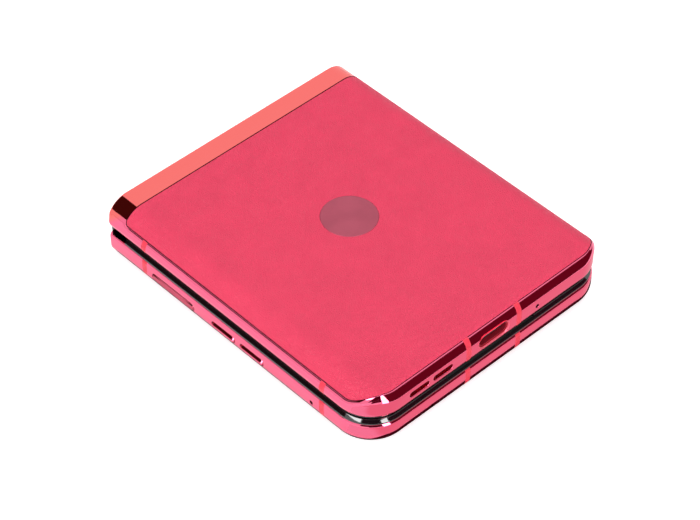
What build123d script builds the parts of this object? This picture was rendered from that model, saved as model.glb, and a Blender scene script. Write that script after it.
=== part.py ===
from build123d import *

# A clamshell folding phone, closed and lying on its outer display. Millimetres, one STEP file per piece.
#
# X runs along the hinge, +Y points at the hinge and +Z is up. The origin is under the middle of the closed
# phone. The flip half lies below and the base half on top, leather back up. Every piece of a half is drawn
# as the flip half lies, with z as the depth below that half's own outer face. to_base() then mirrors the
# base half's pieces about the plane where the halves meet.

import os
from math import asin, atan2, cos, degrees, radians, sin, sqrt, tan

# ---------------------------------------------------------------- driving dimensions
body_width = 73.99
folded_length = 88.09
folded_thickness = 15.32
half_thickness = 7.09

# Outline and wall sections of the two halves
usb_corner_radius = 9.26  # plan corners at the socket edge
hinge_corner_radius = 1.3  # plan corners at the hinge
frame_wall = 1.7
inside_corner_radius = 1.0
rail_inner_wall = 0.25  # how far the inside runs into the spine's room
flip_edge_radius = 3.68  # round from the flip half's wall into its outer face
# A wall's shoulder towards the face with the display: its round, and how far it ends below that face
base_shoulder_radius, base_shoulder_drop = 1.25, 0.14
flip_shoulder_radius, flip_shoulder_drop = 0.3, 0.49
base_front_radius = 2.5  # round of the base half's socket edge
leather_roll = 6.0  # width over which the base half's back rolls down at the sides
groove_depth = 3.4  # depth of the leather's long edges below the flat back
groove_lip = 0.02  # the frame's narrow lip outside the leather's long edges
bulge_radius = 2.2  # round of the base half's side walls
rail_edge_radius = 0.5

# Hinge
axis_depth = 5.38  # each hinge axis lies this deep below its half's outer face
spine_radius = 4.66  # of the spine's outside about each hinge axis
end_gap = 0.08  # between the two halves' hinge ends when the phone is open
spine_clearance = 0.06
spine_wall = 0.6
spine_end_inset = 1.595  # from the phone's side to the spine's end
spine_taper_length = 4.4  # over which the spine's ends round off
spine_end_radius = 2.54  # what is left of the spine's radius at its very ends
spine_wrap = 72.0  # how far the spine cover wraps round each axis, in degrees

# Hinge modules, each with two swing arms, two toothed sectors and a pair of gears
module_places = (-20.0, 20.0)
tongue_width = 2.8
tongue_inner, tongue_outer = 2.2, 2.9
tongue_offset = 3.3  # from the module's middle to the near side of each tongue
guide_clearance = 0.05
sector_width = 1.9
sector_offset = 0.4
sector_inner = 1.2
sector_pitch_radius = 2.0
gear_pitch_radius = 1.0
gear_module = 0.2
tooth_addendum, tooth_dedendum = 0.15, 0.21
tooth_tip, tooth_foot = 0.10, 0.30  # widths
tooth_root_overlap = 0.05  # how far a tooth is let into its gear's body
gear_shaft_radius = 0.5
shaft_clearance = 0.03
arm_rise, arm_fall = 0.2, 0.6  # an arm's plate above and below its hinge axis
foot_length, foot_inset = 3.0, 0.3  # the arm's foot, screwed under the carrier plate
bracket_cheek = 0.5
spine_screw_rise = 2.3  # from the closing plane
spine_head_seat, spine_head_height, spine_head_radius, spine_shank_radius = 1.6, 0.4, 0.8, 0.45
spine_screw_bite = 0.35
bracket_reach = 0.8  # nearest that a bracket comes to the plane of the axes
spine_mouth_reach, spine_mouth_rise = 0.9, 2.0  # the spine is open this far past the axes
arm_lap = 0.5
tongue_end = 15.0  # where a tongue's arc ends, in degrees about its axis
groove_angles = (-100.0, 118.0)
sector_past_mesh = 8.0  # a toothed sector runs on this far past the line of the gears
sector_teeth_behind = 5
gear_side_gap, journal_length = 0.2, 0.85

# Covers: leather over a rigid plate, or the outer display's glass
leather_thickness = 0.7
plate_thickness = 0.55
glass_thickness = 0.8
rail_width = 5.455  # the frame's polished rail, from the covers' end to the hinge end
cover_corner_radius = 3.0
seam = 0.03  # assembly gap all round a part that is set into another
leather_side_inset, leather_front_inset = 0.71, 1.0
glass_inset = 1.5

# Inner display, its carrier plates and its bezel
display_thickness = 0.45
display_inset = 2.3
display_depth = 7.05  # depth of its surface
fold_reach = 8.385  # the folding part of the display starts this far before the hinge axes
loop_radius = 1.3
loop_centre_reach = -0.2  # from the hinge axes to the centre of the display's loop
loop_clearance = 0.25  # free space round the loop
carrier_thickness = 0.6
carrier_top = 6.45
carrier_short = 0.3  # the carrier stops this far before the folding part
wing_thickness, wing_seat_gap, wing_reach, wing_side_gap = 0.25, 0.1, 2.1, 0.6
fold_meeting_gap = 0.01  # between the two halves of the sheet
flip_bezel_inset, base_bezel_inset, bezel_inner_inset = 0.3, 0.95, 2.65
bezel_chamfer = 0.45
bezel_foot = 6.6
closing_gap = 0.1  # between the two bezels
bezel_hinge_inset = 3.485  # the bezels stop this far before the hinge axes
earpiece_slot = (27.0, 0.5)  # width and height of the notch in the bezel
earpiece_slot_depth = 1.0

# Outer display panel, cameras and flash
film_gap = 0.02
panel_insets, panel_corner_radii, panel_thickness = (4.6, 4.2), (5.0, 2.0), 0.58
panel_hinge_inset = 3.17  # from the glass's hinge edge
camera_xs, camera_inset = (25.0, 9.5), 11.045  # all three lie this far from the socket edge
camera_ring_outer, camera_ring_inner, camera_ring_depth = 5.5, 4.4, 1.35
camera_window_depth, camera_window_thickness = 0.15, 0.6
camera_barrel_radius, camera_barrel_length = 3.9, 2.15
camera_housing_half, camera_housing_high = 5.2, 5.6
flash_x, flash_radius, flash_length = -2.0, 2.1, 1.6

# Inner camera and earpiece
inner_camera_inset, inner_lens_radius = 6.845, 1.6
inner_camera_half, inner_camera_low, inner_camera_high = 2.6, 1.9, 5.2
earpiece_half, earpiece_low = 7.8, 2.0

# Screws in the two halves
screw_head, screw_shank, head_height, screw_bite = 1.1, 0.6, 0.5, 0.4
spacer_radius = 1.4
corner_screw_inset, edge_screw_inset = (5.995, 9.045), 4.045
board_screw_inset, base_corner_screw_inset = 3.5, (6.495, 8.545)
flip_screw_xs, base_screw_xs, base_screw_inset = (-13.0, 17.0), (-7.5, 12.0), 2.5

# Boards, batteries and what is mounted on them
board_inset = 2.2
flip_board_low, flip_board_high, flip_board_length = 4.2, 4.9, 32.045
base_board_low, base_board_high, base_board_length = 4.9, 5.6, 24.545
board_battery_gap = 1.0
shield_low, shield_side_inset, shield_gap = 2.2, 4.995, 2.3
small_shield, large_shield = (16.5, 6.0), (-10.0, 12.5)
shield_board_inset, shield_spacing = 1.5, 1.0
fit_gap = 0.2  # free space between neighbours inside a half
battery_foot_gap, base_battery_wall_gap = 0.5, 2.095
magnet_side_inset, magnet_front_inset, magnet_half, magnet_thickness = 11.995, 2.245, 4.0, 1.3
magnet_low, magnet_high = 2.4, 5.4
mic_half, mic_thickness, mic_low = 1.8, 1.1, 2.4
coil_y, coil_outer, coil_inner, coil_thickness = 8.0, 21.0, 10.5, 0.4
motor_x, motor_inset, motor_half = 22.0, 15.045, 4.6
speaker_side_inset, speaker_x1, speaker_length = 5.495, -10.5, 16.045
mesh_thickness, mesh_margin = 0.4, 0.45

# Side keys
key_clearance = 0.1
key_travel = 0.25
key_proud = 0.3
key_flange, key_flange_margin, key_flange_short = 0.5, 0.35, 0.4
key_dome_half_length, key_dome_half_height, key_dome_thickness, key_rest_gap = 1.3, 0.9, 0.25, 0.02
key_strip_thickness, key_strip_half_height, key_strip_margin = 0.2, 1.2, 1.0
power_key_length, power_key_height, power_key_inset = 13.9, 1.9, 20.285  # from the hinge axes
volume_key_length, volume_key_height = 7.3, 1.6
volume_up_inset, volume_down_inset = 37.115, 46.445
key_depth = 3.75

# Antenna bands
band_width, band_thickness = 1.5, 0.8
band_hinge_inset, band_socket_inset = 10.585, 14.745
band_front_places = (-7.7, 7.7)

# Socket edge of the base half
usb_width, usb_height, usb_depth = 9.0, 3.3, 3.62
usb_chamfer = 0.45
usb_shell_length, usb_shell_wall, usb_shell_inset, usb_shell_back = 7.0, 0.25, 0.5, 0.8
usb_blade_half, usb_blade_thickness, usb_blade_inset = 3.3, 0.7, 1.2
slot_height, slot_depth = 1.5, 4.03
slot_insets = ((11.795, 17.495), (18.745, 24.495))  # each slot's two ends, from the phone's side
mic_hole_radius = 0.5
base_mic = (13.4, 4.2)
flip_mic_inset, flip_mic_depth = 18.595, 3.15
side_mic_inset, side_mic_depth = 17.945, 3.8

# SIM tray in the flip half's far side
tray_inset, tray_width, tray_thickness = 24.045, 11.0, 1.0
tray_length = 16.495
tray_depth = 3.8
tray_clearance = 0.15
tray_rim, tray_floor, card_length = 1.2, 0.3, 9.0
reader_wall, reader_margin = 0.5, 0.7

# Round inlay in the leather
badge_radius, badge_thickness = 6.6, 0.25
badge_x, badge_y = 0.1, 1.3

# ---------------------------------------------------------------- derived
half_width = body_width / 2
y_front = -folded_length / 2
y_spine = folded_length / 2
z_mid = folded_thickness / 2
axis_gap = z_mid - axis_depth  # from each axis to the closing plane
y_axis = y_spine - spine_radius
y_end = y_axis + axis_gap - end_gap / 2
spine_half_length = half_width - spine_end_inset
spine_flat_half_length = spine_half_length - spine_taper_length
cavity_radius = spine_radius + spine_clearance
spine_inner = spine_radius - spine_wall
spine_screw_end = spine_inner + spine_screw_bite

cover_end = y_end - rail_width
bezel_end = y_axis - bezel_hinge_inset
fold_start = y_axis - fold_reach
carrier_end = fold_start - carrier_short
foot_end = carrier_end - foot_inset
foot_start = foot_end - foot_length
arm_screw_y = (foot_start + foot_end) / 2
battery_end = foot_start - battery_foot_gap

power_key_y = y_axis - power_key_inset
volume_up_y, volume_down_y = y_axis - volume_up_inset, y_axis - volume_down_inset
side_mic = (y_front + side_mic_inset, side_mic_depth)
flip_mic = (flip_mic_inset - half_width, flip_mic_depth)
speaker_slots = [(near - half_width, far - half_width) for near, far in slot_insets]
band_side_places = (y_axis - band_hinge_inset, y_front + band_socket_inset)
tray_y, tray_inner_end = y_front + tray_inset, half_width - tray_length

panel_end = cover_end - panel_hinge_inset
camera_y = y_front + camera_inset
camera_places = [(x, camera_y) for x in camera_xs]
flash_place = (flash_x, camera_y)
inner_camera_y = y_front + inner_camera_inset
flip_board_end, base_board_end = y_front + flip_board_length, y_front + base_board_length
corner_screw = (corner_screw_inset[0] - half_width, y_front + corner_screw_inset[1])
board_screw = (flip_screw_xs[0], flip_board_end - board_screw_inset)
edge_screw = (flip_screw_xs[1], y_front + edge_screw_inset)
flip_screw_places = (corner_screw, board_screw, edge_screw)
base_corner_screw = (half_width - base_corner_screw_inset[0], y_front + base_corner_screw_inset[1])
base_screw_places = [(x, base_board_end - base_screw_inset) for x in base_screw_xs]
base_screw_places.append(base_corner_screw)
magnet_places = (magnet_side_inset - half_width, half_width - magnet_side_inset)
magnet_y0 = y_front + magnet_front_inset
magnet_y1 = magnet_y0 + magnet_thickness
motor_y = y_front + motor_inset
speaker_x0, speaker_end = speaker_side_inset - half_width, y_front + speaker_length
carrier_bottom = carrier_top - carrier_thickness
cover_stack = leather_thickness + plate_thickness + seam
gear_angle = degrees(asin((axis_gap - gear_pitch_radius) / (sector_pitch_radius + gear_pitch_radius)))
gear_reach = (sector_pitch_radius + gear_pitch_radius) * cos(radians(gear_angle))
gear_depth = z_mid - gear_pitch_radius
sector_teeth = round(2 * sector_pitch_radius / gear_module)
gear_teeth = round(2 * gear_pitch_radius / gear_module)

beyond = 2 * folded_thickness  # past every face, for cutting right through

PARTS = {}


def put(node, *solids):
    """Keep solids as one node of the phone."""
    PARTS.setdefault(node, []).extend(solids)


def to_base(solid):
    """Mirror a solid drawn in the flip half's place into the base half's place."""
    return mirror(solid, about=Plane.XY.offset(z_mid))


# ---------------------------------------------------------------- shapes
def block(x0, x1, y0, y1, z0, z1):
    """A box between two corners."""
    return Pos((x0 + x1) / 2, (y0 + y1) / 2, (z0 + z1) / 2) * Box(x1 - x0, y1 - y0, z1 - z0)


def square_block(x, y, half, z0, z1):
    """A box with a square plan about a point."""
    return block(x - half, x + half, y - half, y + half, z0, z1)


def post(x, y, z0, z1, radius):
    """A cylinder that stands up."""
    return Pos(x, y, (z0 + z1) / 2) * Cylinder(radius, z1 - z0)


def rod(x0, x1, y, z, radius):
    """A cylinder along the hinge."""
    return Pos((x0 + x1) / 2, y, z) * Rot(0, 90, 0) * Cylinder(radius, x1 - x0)


def outline(side_inset, front_inset, y_far, near_radius, far_radius):
    """A half's plan outline, drawn in from the sides and the socket edge and stopped at y_far."""
    w, near = half_width - side_inset, y_front + front_inset
    corners = [(-w, near), (w, near), (w, y_far), (-w, y_far)]
    return make_face(
        FilletPolyline(*corners, radius=[near_radius, near_radius, far_radius, far_radius], close=True)
    )


def prism(face, z0, z1):
    """A plan outline made into a solid between two depths."""
    return extrude(Pos(0, 0, z0) * face, amount=z1 - z0, dir=(0, 0, 1))


def inset_prism(inset, y_far, z0, z1, far_radius=0.0):
    """A prism on the plan outline drawn in evenly."""
    return prism(outline(inset, inset, y_far, usb_corner_radius - inset, far_radius), z0, z1)


def section(plane_point, *steps):
    """A closed face from a start point and steps, each an end point or an arc's middle and end points."""
    start, edges = steps[0][0], []
    here = start
    for step in steps[1:]:
        if len(step) == 1:
            edges.append(Line(plane_point(here), plane_point(step[0])))
        else:
            edges.append(ThreePointArc(plane_point(here), plane_point(step[0]), plane_point(step[1])))
        here = step[-1]
    edges.append(Line(plane_point(here), plane_point(start)))
    return make_face(edges)


def side_point(p):
    """A point of a section across the phone, from (x, depth)."""
    return (p[0], 0, p[1])


def long_point(p):
    """A point of a section along the phone, from (y, depth)."""
    return (0, p[0], p[1])


def on_arc(centre, radius, angle):
    """The point at an angle, in degrees, on a circle."""
    return (centre[0] + radius * cos(radians(angle)), centre[1] + radius * sin(radians(angle)))


def mirrored(steps):
    """A right-hand profile's steps, continued down the left-hand side in reverse."""
    flat = [step[-1] for step in steps]
    back = []
    for i in range(len(steps) - 1, 0, -1):
        middle = [(-p[0], p[1]) for p in steps[i][:-1]]
        back.append((*middle, (-flat[i - 1][0], flat[i - 1][1])))
    return [*steps, ((-flat[-1][0], flat[-1][1]),), *back]


def side_steps_flip():
    """The flip half's right-hand wall: a large round below, a straight wall and a small shoulder."""
    w, r, s = half_width, flip_edge_radius, flip_shoulder_radius
    top = half_thickness - flip_shoulder_drop
    return [
        ((0.001, 0.0),),
        ((w - r, 0.0),),
        (on_arc((w - r, r), r, -45), (w, r)),
        ((w, top - s),),
        (on_arc((w - s, top - s), s, 45), (w - s, top)),
        ((w - s, half_thickness),),
        ((0.001, half_thickness),),
    ]


def side_steps_base():
    """The base half's right-hand wall: the back rolls down to the groove, and the metal bulges below it."""
    w = half_width
    groove_inset = leather_side_inset - groove_lip
    run = leather_roll - groove_inset
    roll = (run**2 + groove_depth**2) / (2 * groove_depth)
    end = degrees(atan2(groove_depth - roll, run))
    groove = (w - groove_inset, groove_depth)
    bulge_mid = groove_depth + sqrt(bulge_radius**2 - (bulge_radius - groove_inset) ** 2)
    low = half_thickness - 0.07
    foot = (w - bulge_radius + sqrt(bulge_radius**2 - (low - bulge_mid) ** 2), low)
    return [
        ((0.001, 0.0),),
        ((w - leather_roll, 0.0),),
        (on_arc((w - leather_roll, roll), roll, (end - 90) / 2), groove),
        ((w, bulge_mid), foot),
        ((foot[0], half_thickness),),
        ((0.001, half_thickness),),
    ]


def long_face(front_radius, s, drop):
    """The section along a half: a rounded socket edge with its shoulder, and a hinge end that rolls on the
    other half's."""
    top = half_thickness - drop
    roll = axis_gap - end_gap / 2
    rise = half_thickness - axis_depth
    lift = degrees(asin(rise / roll))
    axis = (y_axis, axis_depth)
    e = rail_edge_radius
    return section(
        long_point,
        ((y_front + front_radius, 0.0),),
        (on_arc((y_front + front_radius, front_radius), front_radius, 225), (y_front, front_radius)),
        ((y_front, top - s),),
        (on_arc((y_front + s, top - s), s, 135), (y_front + s, top)),
        ((y_front + s, half_thickness),),
        ((y_axis + roll * cos(radians(lift)), half_thickness),),
        (on_arc(axis, roll, lift / 2), (y_end, axis_depth)),
        ((y_end, e),),
        (on_arc((y_end - e, e), e, -45), (y_end - e, 0.0)),
    )


def envelope(side_steps, *front_steps):
    """The outer shape of a half: its plan outline cut to its side and long sections."""
    plan = prism(outline(0, 0, y_end, usb_corner_radius, hinge_corner_radius), -1, half_thickness + 1)
    sides = extrude(
        Pos(0, y_front - 1, 0) * section(side_point, *mirrored(side_steps)),
        amount=folded_length + 2,
        dir=(0, 1, 0),
    )
    length = extrude(
        Pos(-half_width - 1, 0, 0) * long_face(*front_steps), amount=body_width + 2, dir=(1, 0, 0)
    )
    return plan & sides & length


def end_profile(shrink):
    """Half of the spine's lengthwise profile, (x, radius): straight, then rounding off towards the end."""
    run = spine_half_length - spine_flat_half_length
    drop = spine_radius - spine_end_radius
    curve = (run**2 + drop**2) / (2 * drop)
    last = degrees(atan2(run, curve - drop))
    centre = (spine_flat_half_length - shrink, spine_radius - curve)
    big = curve - shrink
    middle = (centre[0] + big * sin(radians(last / 2)), centre[1] + big * cos(radians(last / 2)))
    tip = (centre[0] + big * sin(radians(last)), centre[1] + big * cos(radians(last)))
    return (centre[0], spine_radius - shrink), middle, tip


def profile_face(shrink, depth):
    """The face between a hinge axis and the spine's lengthwise profile, at a depth."""
    right = [(x, y_axis + reach, depth) for x, reach in end_profile(shrink)]
    left = [(-x, y, z) for x, y, z in right]
    right_foot = (right[2][0], y_axis, depth)
    left_foot = (left[2][0], y_axis, depth)
    return make_face(
        [
            Line(left[0], right[0]),
            ThreePointArc(*right),
            Line(right[2], right_foot),
            Line(right_foot, left_foot),
            Line(left_foot, left[2]),
            ThreePointArc(*reversed(left)),
        ]
    )


def revolved_spine(shrink, depth):
    """The whole round body that the spine's profile sweeps about one hinge axis."""
    return revolve(profile_face(shrink, depth), axis=hinge_axis(depth), revolution_arc=360)


def hinge_axis(depth):
    """The line of a hinge axis."""
    return Axis((0, y_axis, depth), (1, 0, 0))


def sector_cut(depth, start, end):
    """A wedge along the whole hinge between two angles about an axis, to cut arcs with."""
    centre = (y_axis, depth)
    reach = 2 * spine_radius
    corners = [centre, *(on_arc(centre, reach, angle) for angle in (start, (start + end) / 2, end))]
    face = make_face(Polyline(*(long_point(corner) for corner in corners), close=True))
    return extrude(Pos(-half_width, 0, 0) * face, amount=body_width, dir=(1, 0, 0))


def spine_body(shrink):
    """The spine's solid form: a wrap about each axis and a flat between them."""
    upper_depth = folded_thickness - axis_depth
    lower = revolved_spine(shrink, axis_depth) & sector_cut(axis_depth, -spine_wrap, 0)
    upper = revolved_spine(shrink, upper_depth) & sector_cut(upper_depth, 0, spine_wrap)
    flat = extrude(profile_face(shrink, axis_depth), amount=2 * axis_gap, dir=(0, 0, 1))
    return lower + flat + upper


def ring_sector(x0, x1, inner, outer, start, end):
    """An arc-shaped bar about a half's hinge axis."""
    centre = (y_axis, axis_depth)
    angles = (start, (start + end) / 2, end)
    far = [long_point(on_arc(centre, outer, angle)) for angle in angles]
    near = [long_point(on_arc(centre, inner, angle)) for angle in angles]
    edges = [
        ThreePointArc(*far),
        Line(far[2], near[2]),
        ThreePointArc(*reversed(near)),
        Line(near[0], far[0]),
    ]
    return extrude(Pos(x0, 0, 0) * make_face(edges), amount=x1 - x0, dir=(1, 0, 0))


def tooth(x0, x1, centre, pitch_radius, angle):
    """One straight-flanked gear tooth that points outwards at an angle from a centre (y, depth)."""
    root = pitch_radius - tooth_dedendum - tooth_root_overlap
    tip = pitch_radius + tooth_addendum
    along = on_arc((0, 0), 1, angle)
    across = on_arc((0, 0), 1, angle + 90)
    flanks = [(root, -tooth_foot / 2), (tip, -tooth_tip / 2), (tip, tooth_tip / 2), (root, tooth_foot / 2)]
    corners = [
        long_point((centre[0] + r * along[0] + s * across[0], centre[1] + r * along[1] + s * across[1]))
        for r, s in flanks
    ]
    return extrude(Pos(x0, 0, 0) * make_face(Polyline(*corners, close=True)), amount=x1 - x0, dir=(1, 0, 0))


# ---------------------------------------------------------------- the two frames
flip_envelope = envelope(side_steps_flip(), flip_edge_radius, flip_shoulder_radius, flip_shoulder_drop)
base_envelope = envelope(side_steps_base(), base_front_radius, base_shoulder_radius, base_shoulder_drop)
# Room for the spine, which turns a quarter round inside each half's hinge end
cavity = revolved_spine(-spine_clearance, axis_depth) + extrude(
    profile_face(-spine_clearance, axis_depth).rotate(hinge_axis(axis_depth), -90),
    amount=2 * axis_gap,
    dir=(0, 1, 0),
)


def cover_prism(side_inset, front_inset, gap):
    """The plan shape of a cover, drawn in by a gap all round."""
    near_radius = usb_corner_radius - (side_inset + front_inset) / 2 - gap
    face = outline(side_inset + gap, front_inset + gap, cover_end - gap, near_radius, cover_corner_radius)
    return prism(face, -1, half_thickness)


def lowered(shape, depth):
    """A half's outer shape moved inwards, to cut covers of even thickness."""
    return Pos(0, 0, depth) * shape


def bare_frame(shape, side_inset, front_inset, stack):
    """A frame ring with its hinge rail: recessed for the cover, open inside, and hollow over the spine."""
    recess = cover_prism(side_inset, front_inset, 0) - lowered(shape, stack)
    inside_end = y_axis - cavity_radius + rail_inner_wall
    inside = inset_prism(frame_wall, inside_end, -1, beyond, inside_corner_radius)
    half_room = spine_half_length + spine_clearance
    over_axis = block(-half_room, half_room, y_axis - cavity_radius, y_spine, axis_depth, beyond)
    return shape - recess - inside - cavity - over_axis


def cut_bands(frame):
    """Cut the antenna bands out of a frame's outer skin. Returns the frame and the bands."""
    tools = []
    for y in band_side_places:
        low, high = y - band_width / 2, y + band_width / 2
        tools.append(block(half_width - band_thickness, half_width + 1, low, high, -1, beyond))
        tools.append(block(-half_width - 1, -half_width + band_thickness, low, high, -1, beyond))
    for x in band_front_places:
        low, high = x - band_width / 2, x + band_width / 2
        tools.append(block(low, high, y_front - 1, y_front + band_thickness, -1, beyond))
    bands = [solid for tool in tools for solid in (frame & tool).solids()]
    for tool in tools:
        frame = frame - tool
    return frame, bands


def wall_hole(place):
    """A round hole through the socket edge at (x, depth)."""
    x, depth = place
    return Pos(x, y_front, depth) * Rot(90, 0, 0) * Cylinder(mic_hole_radius, 4 * frame_wall)


def wall_slot(width, height, x, depth):
    """A rounded slot through the socket edge."""
    return stadium(width, height, y_front - 1, y_front + frame_wall + 1, x, depth)


def stadium(width, height, y0, y1, x, z):
    """A rounded slot's solid along Y."""
    bar = extrude(SlotOverall(width, height), amount=(y1 - y0) / 2, both=True)
    return Pos(x, (y0 + y1) / 2, z) * Rot(90, 0, 0) * bar


def key_slot(y, length, height, grow):
    """The rounded bar of a side key, through the near side wall."""
    bar = extrude(SlotOverall(length + 2 * grow, height + 2 * grow), amount=2 * frame_wall, both=True)
    return Pos(-half_width, y, key_depth) * Plane.YZ.location * bar


KEYS = {
    "power_key": (power_key_y, power_key_length, power_key_height, 0.05),
    "volume_up_key": (volume_up_y, volume_key_length, volume_key_height, key_proud),
    "volume_down_key": (volume_down_y, volume_key_length, volume_key_height, key_proud),
}

tray_low, tray_high = tray_y - tray_width / 2, tray_y + tray_width / 2
tray_under, tray_over = tray_depth - tray_thickness / 2, tray_depth + tray_thickness / 2
flip_frame = bare_frame(flip_envelope, glass_inset, glass_inset, glass_thickness + seam)
for y, length, height, proud in KEYS.values():
    flip_frame = flip_frame - key_slot(y, length, height, key_clearance)
flip_frame = flip_frame - block(
    half_width - 2 * frame_wall,
    half_width + 1,
    tray_low - tray_clearance,
    tray_high + tray_clearance,
    tray_under - tray_clearance,
    tray_over + tray_clearance,
)
flip_frame = flip_frame - wall_hole(flip_mic)
flip_frame = flip_frame - rod(-half_width - 1, -half_width + 2 * frame_wall, *side_mic, mic_hole_radius)
flip_frame, flip_bands = cut_bands(flip_frame)
put("flip_frame", flip_frame)
put("flip_antenna_bands", *flip_bands)

base_frame = bare_frame(base_envelope, leather_side_inset, leather_front_inset, cover_stack)
base_frame = base_frame - wall_slot(usb_width, usb_height, 0, usb_depth)
mouth_outer = SlotOverall(usb_width + 4 * usb_chamfer, usb_height + 4 * usb_chamfer)
base_frame = base_frame - loft(
    [
        Pos(0, y_front + usb_chamfer, usb_depth) * Rot(90, 0, 0) * SlotOverall(usb_width, usb_height),
        Pos(0, y_front - usb_chamfer, usb_depth) * Rot(90, 0, 0) * mouth_outer,
    ]
)
for x0, x1 in speaker_slots:
    base_frame = base_frame - wall_slot(x1 - x0, slot_height, (x0 + x1) / 2, slot_depth)
base_frame = base_frame - wall_hole(base_mic)
base_frame, base_bands = cut_bands(base_frame)
put("base_frame", to_base(base_frame))
put("base_antenna_bands", *(to_base(band) for band in base_bands))

# ---------------------------------------------------------------- covers
glass = flip_envelope & cover_prism(glass_inset, glass_inset, seam)
glass = glass - lowered(flip_envelope, glass_thickness)
panel_low = glass_thickness + film_gap
panel = prism(outline(*panel_insets, panel_end, *panel_corner_radii), panel_low, panel_low + panel_thickness)
display_cutouts = [post(x, y, -1, beyond, camera_ring_outer + seam) for x, y in camera_places]
display_cutouts.append(post(*flash_place, -1, beyond, flash_radius + seam))
for hole in display_cutouts:
    glass = glass - hole
    panel = panel - hole
put("outer_display_glass", glass)
put("outer_display_panel", panel)

window_low, window_high = camera_window_depth, camera_window_depth + camera_window_thickness
barrel_low = window_high + 0.1
barrel_high = barrel_low + camera_barrel_length
for x, y in camera_places:
    ring = post(x, y, 0.0, camera_ring_depth, camera_ring_outer)
    put("camera_rings", ring - post(x, y, -1, beyond, camera_ring_inner))
    put("camera_windows", post(x, y, window_low, window_high, camera_ring_inner - seam))
    housing = square_block(x, y, camera_housing_half, barrel_high, camera_housing_high)
    put("camera_modules", post(x, y, barrel_low, barrel_high, camera_barrel_radius) + housing)
put("flash_lens", post(*flash_place, 0.0, flash_length, flash_radius))

cover_shape = cover_prism(leather_side_inset, leather_front_inset, seam)
leather = (base_envelope & cover_shape) - lowered(base_envelope, leather_thickness)
leather = leather - post(badge_x, badge_y, -1, badge_thickness, badge_radius + seam)
put("leather_cover", to_base(leather))
put("round_inlay", to_base(post(badge_x, badge_y, 0.0, badge_thickness, badge_radius)))
plate = cover_shape & lowered(base_envelope, leather_thickness)
put("cover_plate", to_base(plate - lowered(base_envelope, leather_thickness + plate_thickness)))

# ---------------------------------------------------------------- inner display, carriers and bezels
def carrier():
    """The stiff plate that closes a half's inside and carries its display."""
    return inset_prism(frame_wall + seam, carrier_end, carrier_bottom, carrier_top, inside_corner_radius)


def flat_display():
    """The part of the folding display that stays flat on one half."""
    near = usb_corner_radius - display_inset
    face = outline(display_inset, display_inset, fold_start, near, 0.0)
    return prism(face, display_depth - display_thickness, display_depth)


def bezel(inset):
    """The raised rim round three sides of a display, with a foot outside the display's edge."""
    top = z_mid - closing_gap / 2
    rim = inset_prism(inset, bezel_end, display_depth + film_gap, top)
    upper_edges = rim.edges().filter_by_position(Axis.Z, top, top)
    outer_edges = [edge for edge in upper_edges if edge.center().Y < bezel_end - seam]
    rim = chamfer(outer_edges, bezel_chamfer)
    rim = rim - inset_prism(bezel_inner_inset, bezel_end + 1, 0, top + 1)
    foot = inset_prism(inset, bezel_end, bezel_foot, display_depth + film_gap)
    foot = foot - inset_prism(display_inset - seam, bezel_end + 1, 0, top + 1)
    return rim + foot


def bezel_seat(inset):
    """What a frame leaves free for the bezel's foot."""
    return inset_prism(inset - seam, bezel_end + seam, bezel_foot - seam, half_thickness + 1)


for node in ("flip_frame", "base_frame", "flip_antenna_bands", "base_antenna_bands"):
    on_flip = node.startswith("flip")
    seat = bezel_seat(flip_bezel_inset) if on_flip else to_base(bezel_seat(base_bezel_inset))
    PARTS[node] = [solid for body in PARTS[node] for solid in (body - seat).solids()]

lens_hole = post(0, inner_camera_y, 0, beyond, inner_lens_radius + 0.15)
put("inner_display_flip", flat_display() - lens_hole)
put("inner_display_base", to_base(flat_display()))
slot_width, slot_rise = earpiece_slot
slot_low = z_mid - closing_gap / 2 - slot_rise
notch_end = y_front + flip_bezel_inset + earpiece_slot_depth
earpiece_notch = block(-slot_width / 2, slot_width / 2, y_front, notch_end, slot_low, z_mid)
put("flip_bezel", bezel(flip_bezel_inset) - earpiece_notch)
put("base_bezel", to_base(bezel(base_bezel_inset)))

# The folding part of the display, closed: a ramp down into a loop round the closing plane.
loop_centre = (y_axis + loop_centre_reach, z_mid)
ramp_start = (fold_start + 0.05, display_depth)
ramp_run, ramp_rise = loop_centre[0] - ramp_start[0], z_mid - display_depth
ramp_angle = degrees(atan2(ramp_rise, ramp_run) - asin(loop_radius / sqrt(ramp_run**2 + ramp_rise**2)))
ramp_slope = tan(radians(ramp_angle))


def fold_sheet(half_span):
    """Half of a sheet that runs down a ramp and round the loop to the closing plane."""
    down = ramp_angle - 90
    outer = loop_radius + display_thickness
    under_start = on_arc(ramp_start, display_thickness, down)
    loop_end = z_mid - fold_meeting_gap
    face = section(
        long_point,
        (ramp_start,),
        (on_arc(loop_centre, loop_radius, down),),
        (on_arc(loop_centre, loop_radius, down / 2), (loop_centre[0] + loop_radius, loop_end)),
        ((loop_centre[0] + outer, loop_end),),
        (on_arc(loop_centre, outer, down / 2), on_arc(loop_centre, outer, down)),
        (under_start,),
    )
    return extrude(Pos(-half_span, 0, 0) * face, amount=2 * half_span, dir=(1, 0, 0))


fold_half_span = half_width - display_inset
put("display_fold_flip", fold_sheet(fold_half_span))
put("display_fold_base", to_base(fold_sheet(fold_half_span)))


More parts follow.
